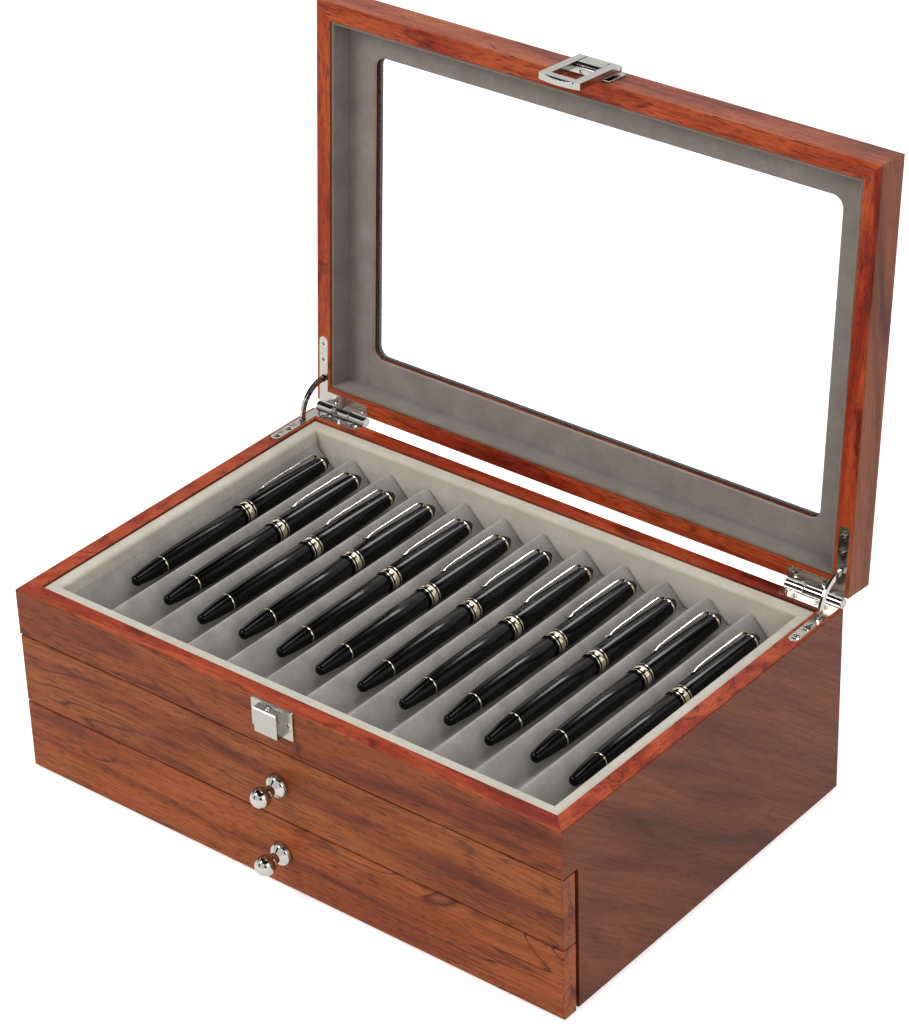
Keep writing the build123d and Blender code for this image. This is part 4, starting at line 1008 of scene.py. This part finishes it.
# ------------------------------------------------------------------ pens
@dataclass
class CappedPens:
    """Twelve capped fountain pens, turned on one axis each."""

    length: float = 146.0 * MM
    cap_at: float = 77.5 * MM
    tip_radius: float = 2.9 * MM
    tip_dome: float = 2.4 * MM
    ring_at: float = 20.0 * MM
    sink: float = 1.2 * MM
    barrel_radius: float = 5.1 * MM
    cap_radius: float = 5.6 * MM
    cap_straight: float = 14.0 * MM
    shoulder_from_end: float = 6.0 * MM
    shoulder_length: float = 3.6 * MM
    end_radius: float = 4.2 * MM
    finial_radius: float = 2.5 * MM
    clip_top: float = 137.0 * MM
    clip_length: float = 41.0 * MM
    clip_half_thickness: float = 0.45 * MM
    clip_lean: float = 34.0
    sides: int = 48

    def axes(self) -> list[Array]:
        """Start of each pen's axis: one per groove, with the tip where the CAD barrel's is."""
        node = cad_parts["pen_barrels"]
        flat = np.zeros(len(node.data.vertices) * 3)
        node.data.vertices.foreach_get("co", flat)
        points = flat.reshape(-1, 3)
        low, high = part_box("pen_barrels")
        height = (low.z + high.z) / 2 - self.sink
        tray_low, tray_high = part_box("tray_ridges")
        pitch = (tray_high.x - tray_low.x) / SIZES.grooves
        column = np.floor((points[:, 0] - tray_low.x) / pitch).astype(int)
        return [
            np.array([tray_low.x + (index + 0.5) * pitch, points[column == index, 1].min(), height])
            for index in range(SIZES.grooves)
        ]

    def barrel_profile(self) -> Array:
        """A blunt domed tip, a long swell to full width and a straight end inside the cap.

        The dome is a quarter ellipse. The swell is full - (full - tip) * (1 - s)^3, where s runs
        from 0 at the dome to 1 where the barrel is full.
        """
        dome, full = self.tip_dome, self.barrel_radius
        turn = np.radians(np.linspace(1, 90, 12))[:, None]
        tip = np.concatenate([dome * (1 - np.cos(turn)), self.tip_radius * np.sin(turn)], 1)
        share = np.linspace(0, 1, 24)[1:]
        swell_x = dome + share * (self.cap_at * 0.66 - dome)
        swell_r = full - (full - self.tip_radius) * (1 - share) ** 3
        c = self.cap_at
        end = np.array([[c - 0.6 * MM, full], [c, full - 0.3 * MM], [c, 0.5 * MM]])
        return np.concatenate([tip, np.stack([swell_x, swell_r], -1), end])

    def cap_profile(self) -> Array:
        """A rounded lip, a straight zone for the bands, a long taper and a domed shoulder."""
        r, e = self.cap_radius, self.end_radius
        shoulder = self.length - self.shoulder_from_end
        straight = self.cap_at + self.cap_straight
        share = np.linspace(0, 1, 26)
        taper = np.stack([straight + share * (shoulder - straight), r - (r - e) * share ** 1.6], -1)
        dome_x = shoulder + self.shoulder_length * np.sin(share * np.pi / 2)
        dome_r = 2.3 * MM + (e - 2.3 * MM) * np.cos(share * np.pi / 2)
        dome = np.stack([dome_x, dome_r], -1)[1:]
        lip = np.array([[0.0, 0.5 * MM], [0.0, r - 0.6 * MM], [0.2 * MM, r - 0.15 * MM], [0.7 * MM, r]])
        lip[:, 0] += self.cap_at
        return np.concatenate([lip, taper, dome, [[shoulder + self.shoulder_length, 0.1 * MM]]])

    def finial_profile(self) -> Array:
        """A small domed button at the end of the cap."""
        start, radius = self.length - 2.6 * MM, self.finial_radius
        share = np.linspace(0, 1, 12) * np.pi / 2
        dome = np.stack([start + 0.5 * MM + 2.1 * MM * np.sin(share), radius * np.cos(share) + 0.02 * MM], -1)
        return np.concatenate([[[start, 0.1 * MM], [start, radius]], dome])

    def bands(self) -> list[Array]:
        """Ring on the barrel, three rings at the cap's mouth (thin, wide, thin) and one at its end.

        Each is a low wall with rounded shoulders that stands a little proud of the pen.
        """
        barrel = self.barrel_profile()[:-2]
        at_ring = float(np.interp(self.ring_at, barrel[:, 0], barrel[:, 1]))
        c, r = self.cap_at, self.cap_radius
        rows = [
            (self.ring_at, 0.7 * MM, at_ring, 0.15 * MM), (c + 1.2 * MM, 0.6 * MM, r, 0.08 * MM),
            (c + 2.8 * MM, 3.2 * MM, r, 0.1 * MM), (c + 7.0 * MM, 0.6 * MM, r, 0.08 * MM),
            (self.length - 6.6 * MM, 1.2 * MM, self.end_radius, 0.15 * MM),
        ]
        sections = []
        for start, width, radius, proud in rows:
            soft = min(0.25 * MM, width / 3)
            shoulder = radius + proud - soft / 2
            end, sunk, top = start + width, radius - 0.4 * MM, radius + proud
            sections.append(np.array([[start, sunk], [start, shoulder], [start + soft, top],
                                      [end - soft, top], [end, shoulder], [end, sunk]]))
        return sections

    def clip_rings(self, origin: Array) -> Array:
        """The clip: a rounded bar carried along a path over the cap.

        The path leaves the cap's shoulder, rises, runs straight down the cap and ends in a small
        foot. The bar's section is a flattened circle whose width shrinks down the cap and grows
        again at the foot. The whole clip leans some degrees round the cap.

        Args:
            origin: Start of the pen's axis.

        Returns:
            Array of shape (stations, around, 3).
        """
        top, low = self.clip_top, self.clip_top - self.clip_length
        r, e = self.cap_radius, self.end_radius
        path = np.array([
            [top + 3.2 * MM, e - 0.6 * MM], [top + 3.0 * MM, e + 1.2 * MM], [top + 2.0 * MM, e + 2.0 * MM],
            [top - 0.5 * MM, r + 1.0 * MM], [top - 6.0 * MM, r + 1.1 * MM], [low + 12.0 * MM, r + 1.1 * MM],
            [low + 5.0 * MM, r + 0.9 * MM], [low + 2.4 * MM, r + 0.4 * MM], [low + 1.2 * MM, r + 0.4 * MM],
            [low, r + 0.9 * MM],
        ])
        tangent = np.gradient(path, axis=0)
        tangent /= np.linalg.norm(tangent, axis=1, keepdims=True)
        normal = np.stack([tangent[:, 1], -tangent[:, 0]], -1)
        share = np.linspace(0, 1, len(path))
        width = np.interp(share, [0, 0.3, 0.6, 0.85, 1], [1.5, 1.3, 0.85, 1.2, 1.0]) * MM
        turn = np.linspace(0, 2 * np.pi, 12, endpoint=False)[None]
        along = path[:, 0, None] + normal[:, 0, None] * self.clip_half_thickness * np.sin(turn)
        out = path[:, 1, None] + normal[:, 1, None] * self.clip_half_thickness * np.sin(turn)
        side = width[:, None] * np.cos(turn)
        lean = math.radians(self.clip_lean)
        x = side * math.cos(lean) - out * math.sin(lean)
        z = side * math.sin(lean) + out * math.cos(lean)
        return origin + np.stack([x, along, z], -1)

    def build(self, palette: Palette) -> None:
        """Makes barrels, caps, finials, bands and clips, each group as one piece."""
        ahead = np.array([0.0, 1.0, 0.0])
        groups = {
            "pen barrels": ([self.barrel_profile()], palette.resin, "pen_resin", ["pen_barrels"]),
            "pen caps": ([self.cap_profile()], palette.resin, "pen_resin", ["pen_caps"]),
            "pen finials": ([self.finial_profile()], palette.resin, "pen_resin", []),
            "pen bands": (self.bands(), palette.gold, "pen_trim", []),
        }
        for name, (profiles, finish, slot, replaced) in groups.items():
            shell = Shell()
            for origin in self.axes():
                for profile in profiles:
                    shell.tube(turned_rings(profile, origin, ahead, self.sides))
            shell.piece(name, finish, slot, "case", 40.0, replaced)
        shell = Shell()
        for origin in self.axes():
            shell.tube(self.clip_rings(origin))
        shell.piece("pen clips", palette.silver, "pen_trim", "case", 60.0, ["pen_clips"])


# ------------------------------------------------------------------ metal fittings
@dataclass
class Fittings:
    """Hinges, catch and hasp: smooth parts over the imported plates."""

    barrel: float = 2.62 * MM
    barrel_start: float = 131.0 * MM
    barrel_end: float = 163.3 * MM
    bore: float = 0.9 * MM
    knuckle_gap: float = 0.3 * MM
    knuckle_soft: float = 0.3 * MM
    ball: float = 1.5 * MM

    def knuckles(self, palette: Palette) -> None:
        """Smooth sleeves over the hinge knuckles: outer two on the case, middle one on the lid."""
        third = (self.barrel_end - self.barrel_start) / 3
        length = third - self.knuckle_gap
        soft, radius = self.knuckle_soft, self.barrel
        profile = np.array([[0.0, self.bore], [0.0, radius - soft], [soft, radius], [length - soft, radius],
                            [length, radius - soft], [length, self.bore]])
        for side, word in ((-1, "left"), (1, "right")):
            for index in range(3):
                low = self.barrel_start + index * third + self.knuckle_gap / 2
                origin = SIZES.axis + np.array([side * low, 0.0, 0.0])
                shell = Shell()
                shell.tube(turned_rings(profile, origin, np.array([float(side), 0.0, 0.0]), 40))
                shell.piece(f"knuckle {word} {index + 1}", palette.chrome, "chrome",
                            "lid" if index == 1 else "case", 40.0)

    def screws(self, palette: Palette) -> None:
        """Cross-head screws of the hinges, the catch and the hasp."""
        s = SIZES
        screws = CrossScrews()
        up = np.array([0.0, 0.0, 1.0])
        ahead = np.array([0.0, -1.0, 0.0])
        leaf = [(s.half_width - s.leaf_from_side, s.half_depth - y * MM) for y in (33.5, 24.5)]
        leaf += [(s.half_width - x * MM, s.half_depth - 3.3 * MM) for x in (12.5, 30.0)]
        case, lid = [], []
        for side in (-1, 1):
            for x, y in leaf:
                case.append((np.array([side * x, y, s.rim]), up))
                start = np.array([side * x, y, s.lid_rim])
                lid.append((opened(start), opened(start - up) - opened(start)))
        screws.build("hinge screws in the case", case, palette.chrome, "case", "hinge_case_screws")
        screws.build("hinge screws in the lid", lid, palette.chrome, "lid", "hinge_lid_screws")
        low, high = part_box("catch_plate")
        front = -s.half_depth - 1.0 * MM
        middle = (low.z + high.z) / 2
        catch = [(np.array([side * 9.7 * MM, front, middle]), ahead) for side in (-1, 1)]
        screws.build("catch screws", catch, palette.chrome, "case", "catch_screws")
        hasp = []
        for side in (-1, 1):
            start = np.array([side * 9.475 * MM, front, s.lid_rim + 8.8 * MM])
            hasp.append((opened(start), opened(start + ahead) - opened(start)))
        screws.build("hasp screws", hasp, palette.chrome, "lid", "hasp_screws")

    def catch_ball(self, palette: Palette) -> None:
        """A smooth ball in place of the faceted one."""
        low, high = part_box("catch_ball")
        angle = np.radians(np.linspace(1, 179, 24))
        profile = np.stack([-self.ball * np.cos(angle), self.ball * np.sin(angle)], -1)
        shell = Shell()
        shell.tube(turned_rings(profile, np.array((low + high) / 2), np.array([0.0, 0.0, 1.0]), 32))
        shell.piece("catch ball", palette.chrome, "chrome", "catch_ball", 60.0, ["catch_ball"])

    def dress_plates(self, palette: Palette) -> None:
        """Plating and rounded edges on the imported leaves, stays, plates and frame, plating on the pins."""
        for side in ("left", "right"):
            softened(f"hinge_case_leaf_{side}", "case", palette.plate, 0.2 * MM)
            softened(f"hinge_lid_leaf_{side}", "lid", palette.plate, 0.2 * MM)
            softened(f"stay_{side}", f"stay_{side}", palette.chrome, 0.25 * MM)
        softened("hasp_frame", "hasp", palette.plate, 0.7 * MM)
        softened("hasp_plate", "lid", palette.plate, 0.35 * MM)
        softened("catch_plate", "case", palette.satin, 0.3 * MM)
        dress("hinge_pins", palette.chrome)
        dress("hasp_pin", palette.chrome)

    def build(self, palette: Palette) -> None:
        """Makes all the fittings."""
        self.knuckles(palette)
        self.screws(palette)
        self.catch_ball(palette)
        self.dress_plates(palette)
        for drawer in palette.drawers:
            DrawerKnob().build(f"{drawer}_drawer_knob", f"{drawer}_drawer", palette.chrome)


# ------------------------------------------------------------------ woodwork
class Woodwork:
    """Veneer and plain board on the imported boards, and glass in the lid."""

    def build(self, palette: Palette) -> None:
        """Dresses every packed board."""
        dress("case_front_rail", palette.front)
        dress("case_back", palette.back)
        for side in ("left", "right"):
            dress(f"case_side_{side}", palette.side)
            dress(f"lid_rail_{side}", palette.lid_short)
        for side in ("front", "back"):
            dress(f"lid_rail_{side}", palette.lid_long)
        for node in ("compartment_floor", "drawer_partition", "case_bottom"):
            dress(node, palette.panel)
        for drawer, veneer in palette.drawers.items():
            dress(f"{drawer}_drawer_front", veneer)
            for board in ("side_left", "side_right", "back", "bottom"):
                dress(f"{drawer}_drawer_{board}", palette.panel)
        dress("glass_pane", palette.glass)


class Trays:
    """Suede in the compartment and inside both drawers."""

    def build(self, palette: Palette) -> None:
        """Makes the grooved trays, and four wrapped strips for each drawer."""
        low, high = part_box("tray_ridges")
        base_low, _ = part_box("tray_base")
        low.z = base_low.z
        GroovedTray().build("grooved tray", "case", palette.tray, low, high, ["tray_ridges", "tray_base"])
        for drawer in palette.drawers:
            body = f"{drawer}_drawer"
            low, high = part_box(f"{body}_ridges")
            GroovedTray().build(f"{drawer} drawer tray", body, palette.drawer_suede, low, high,
                                [f"{body}_ridges"])
            low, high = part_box(f"{body}_linings")
            middle = np.array([0.0, (low.y + high.y) / 2, 0.0])
            half = SIZES.strip / 2
            top = arc((half, high.z - half), half, 180, 0, 9)
            profile = np.concatenate([top, np.array([[SIZES.strip, low.z], [0.0, low.z]])])
            mitred_frame(f"{drawer} drawer lining", profile, high.x, (high.y - low.y) / 2, 12,
                         lambda points, middle=middle: points + middle, palette.drawer_suede, body,
                         [[f"{body}_linings"], [], [], []])


@dataclass
class BaseFelt:
    """Felt on the underside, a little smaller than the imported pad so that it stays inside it."""

    inset: float = 0.4 * MM
    corner: float = 4.0 * MM

    def build(self, palette: Palette) -> None:
        """Makes the pad as rings from its lower face up its soft edge."""
        low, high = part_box("base_felt")
        half_w, half_d = (high.x - low.x) / 2, (high.y - low.y) / 2
        rings = rounded_rings([
            (half_w - shrink, half_d - shrink, self.corner, height)
            for shrink, height in ((self.inset, low.z), (0.0, low.z + self.inset), (0.0, high.z))
        ])
        shell = Shell()
        shell.tube(rings + np.array([(low.x + high.x) / 2, (low.y + high.y) / 2, 0.0]))
        shell.piece("base felt", palette.felt, "felt", "case", 50.0, ["base_felt"])


# ------------------------------------------------------------------ studio
@dataclass(frozen=True)
class StudioCamera:
    """Camera fitted to the photograph, which is 909 by 1024 pixels."""

    azimuth: float = 39.514
    elevation: float = 31.056
    roll: float = -1.773
    distance: float = 1.4683
    target: tuple[float, float, float] = (0.0795, -0.0674, 0.2174)
    focal_pixels: float = 3386.5
    centre_pixels: tuple[float, float] = (460.7, 506.2)
    picture: tuple[int, int] = (909, 1024)

    def build(self) -> None:
        """Places the camera on a sphere round the target and turns it by the roll."""
        data = bpy.data.cameras.new("studio camera")
        camera = bpy.data.objects.new("studio camera", data)
        bpy.context.scene.collection.objects.link(camera)
        bpy.context.scene.camera = camera
        a, e, r = (math.radians(v) for v in (self.azimuth, self.elevation, self.roll))
        back = Vector((math.sin(a) * math.cos(e), -math.cos(a) * math.cos(e), math.sin(e)))
        right = Vector((math.cos(a), math.sin(a), 0.0))
        up = back.cross(right)
        right, up = math.cos(r) * right + math.sin(r) * up, math.cos(r) * up - math.sin(r) * right
        place = Matrix((right, up, back)).transposed().to_4x4()
        place.translation = Vector(self.target) + back * self.distance
        camera.matrix_world = place
        width, height = self.picture
        data.lens = self.focal_pixels / height * data.sensor_width
        data.shift_x = (width / 2 - self.centre_pixels[0]) / height
        data.shift_y = (self.centre_pixels[1] - height / 2) / height


@dataclass
class Studio:
    """Pale floor, white surround and soft lamps."""

    floor_half: float = 30.0
    floor_level: float = -0.0002
    daylight: float = 0.5
    floor_glow: float = 0.6
    aim: tuple[float, float, float] = (0.0, 0.0, 0.12)

    @staticmethod
    def seen_directly(nodes: Nodes) -> Socket:
        """One for rays from the camera, a mirror or glass, and nought for the light on the object."""
        rays = nodes.add("ShaderNodeLightPath").outputs
        seen = nodes.calc("MAXIMUM", rays["Is Camera Ray"], rays["Is Glossy Ray"])
        return nodes.calc("MAXIMUM", seen, rays["Is Transmission Ray"])

    @staticmethod
    def card(name: str, points: Array, **values: object) -> bpy.types.Object:
        """A flat card with four corners, which belongs to the studio.

        Args:
            name: Name of the card and its material.
            points: Its corners.
            values: Inputs of its surface shader.

        Returns:
            The object.
        """
        material = bpy.data.materials.new(name)
        Nodes(material).surface(**values)
        mesh = bpy.data.meshes.new(name)
        mesh.from_pydata(points.tolist(), [], [(0, 1, 2, 3)])
        mesh.materials.append(material)
        card = bpy.data.objects.new(name, mesh)
        bpy.context.scene.collection.objects.link(card)
        return card

    def floor(self) -> None:
        """A wide pale floor that shows white and keeps the object's shadow."""
        points = np.concatenate([CORNERS * self.floor_half, np.full((4, 1), self.floor_level)], 1)
        floor = self.card("studio_floor", points, Base_Color=(0.86, 0.86, 0.86), Roughness=0.9,
                          Emission_Color=(1.0, 1.0, 1.0))
        nodes = Nodes(floor.active_material)
        glow = nodes.remap(self.seen_directly(nodes), 0.0, 1.0, 0.0, self.floor_glow)
        nodes.surface(Emission_Strength=glow)

    def world(self) -> None:
        """A plain white surround: full white where it is seen, softer as light."""
        world = bpy.data.worlds.new("white studio")
        bpy.context.scene.world = world
        nodes = Nodes(world)
        strength = nodes.remap(self.seen_directly(nodes), 0.0, 1.0, self.daylight, 1.0)
        nodes.surface(Color=(1.0, 1.0, 1.0), Strength=strength)

    def flag(self, name: str, place: Sequence[float], width: float, height: float) -> None:
        """A dark card that only shows in reflections, which gives the metal its dark edges.

        Args:
            name: Name of the card.
            place: Its middle. It faces the chest.
            width: Its width.
            height: Its height.
        """
        middle = np.array(place, float)
        first, second = frame_axes(middle - np.array(self.aim))
        corners = CORNERS * np.array([width, height]) / 2
        card = self.card(name, middle + corners[:, :1] * first + corners[:, 1:] * second,
                         Base_Color=(0.01, 0.01, 0.01), Roughness=1.0)
        card.visible_camera = False
        card.visible_diffuse = False
        card.visible_transmission = False
        card.visible_shadow = False

    def lamp(self, name: str, place: Sequence[float], size: float, power: float, width: float = 0.0) -> None:
        """A soft lamp that faces the middle of the chest.

        Args:
            name: Name of the lamp.
            place: Its middle.
            size: Height of the lamp, and its width where it is square.
            power: Its power in watts.
            width: Width of a strip lamp, which only shows in reflections.
        """
        data = bpy.data.lights.new(name, "AREA")
        data.shape = "RECTANGLE"
        data.size = width or size
        data.size_y = size
        data.energy = power
        lamp = bpy.data.objects.new(name, data)
        bpy.context.scene.collection.objects.link(lamp)
        lamp.location = place
        lamp.rotation_mode = "QUATERNION"
        lamp.rotation_quaternion = (Vector(self.aim) - Vector(place)).to_track_quat("-Z", "Y")
        lamp.visible_diffuse = width == 0.0
        lamp.visible_transmission = width == 0.0

    def build(self) -> None:
        """Sets the whole studio."""
        bpy.context.scene.view_settings.view_transform = "Standard"
        self.floor()
        self.world()
        self.lamp("key lamp", (-0.9, -1.3, 1.6), 0.7, 15.0)
        self.lamp("fill lamp", (1.6, -0.6, 0.9), 0.8, 5.5)
        self.lamp("top lamp", (0.1, 0.5, 1.9), 0.8, 8.5)
        self.lamp("strip lamp", (-0.19, 1.39, 1.66), 0.4, 14.0, 0.7)
        self.flag("upper_flag", (-0.2, 0.0, 2.3), 4.4, 4.4)
        self.flag("left_flag", (-1.7, -0.2, 0.7), 0.6, 0.9)
        self.flag("right_flag", (1.4, -1.6, 0.8), 0.9, 1.0)
        self.flag("front_flag", (-1.2, -2.2, 0.7), 2.4, 0.7)
        StudioCamera().build()


def main() -> None:
    """Builds the chest's look and the studio in order."""
    logging.basicConfig(level=logging.INFO, format="%(message)s")
    palette = Palette()
    for part in (Woodwork(), Linings(), WindowBoard(), Trays(), BaseFelt(), CappedPens(), Fittings()):
        part.build(palette)
    Studio().build()


if __name__ == "__main__":
    main()
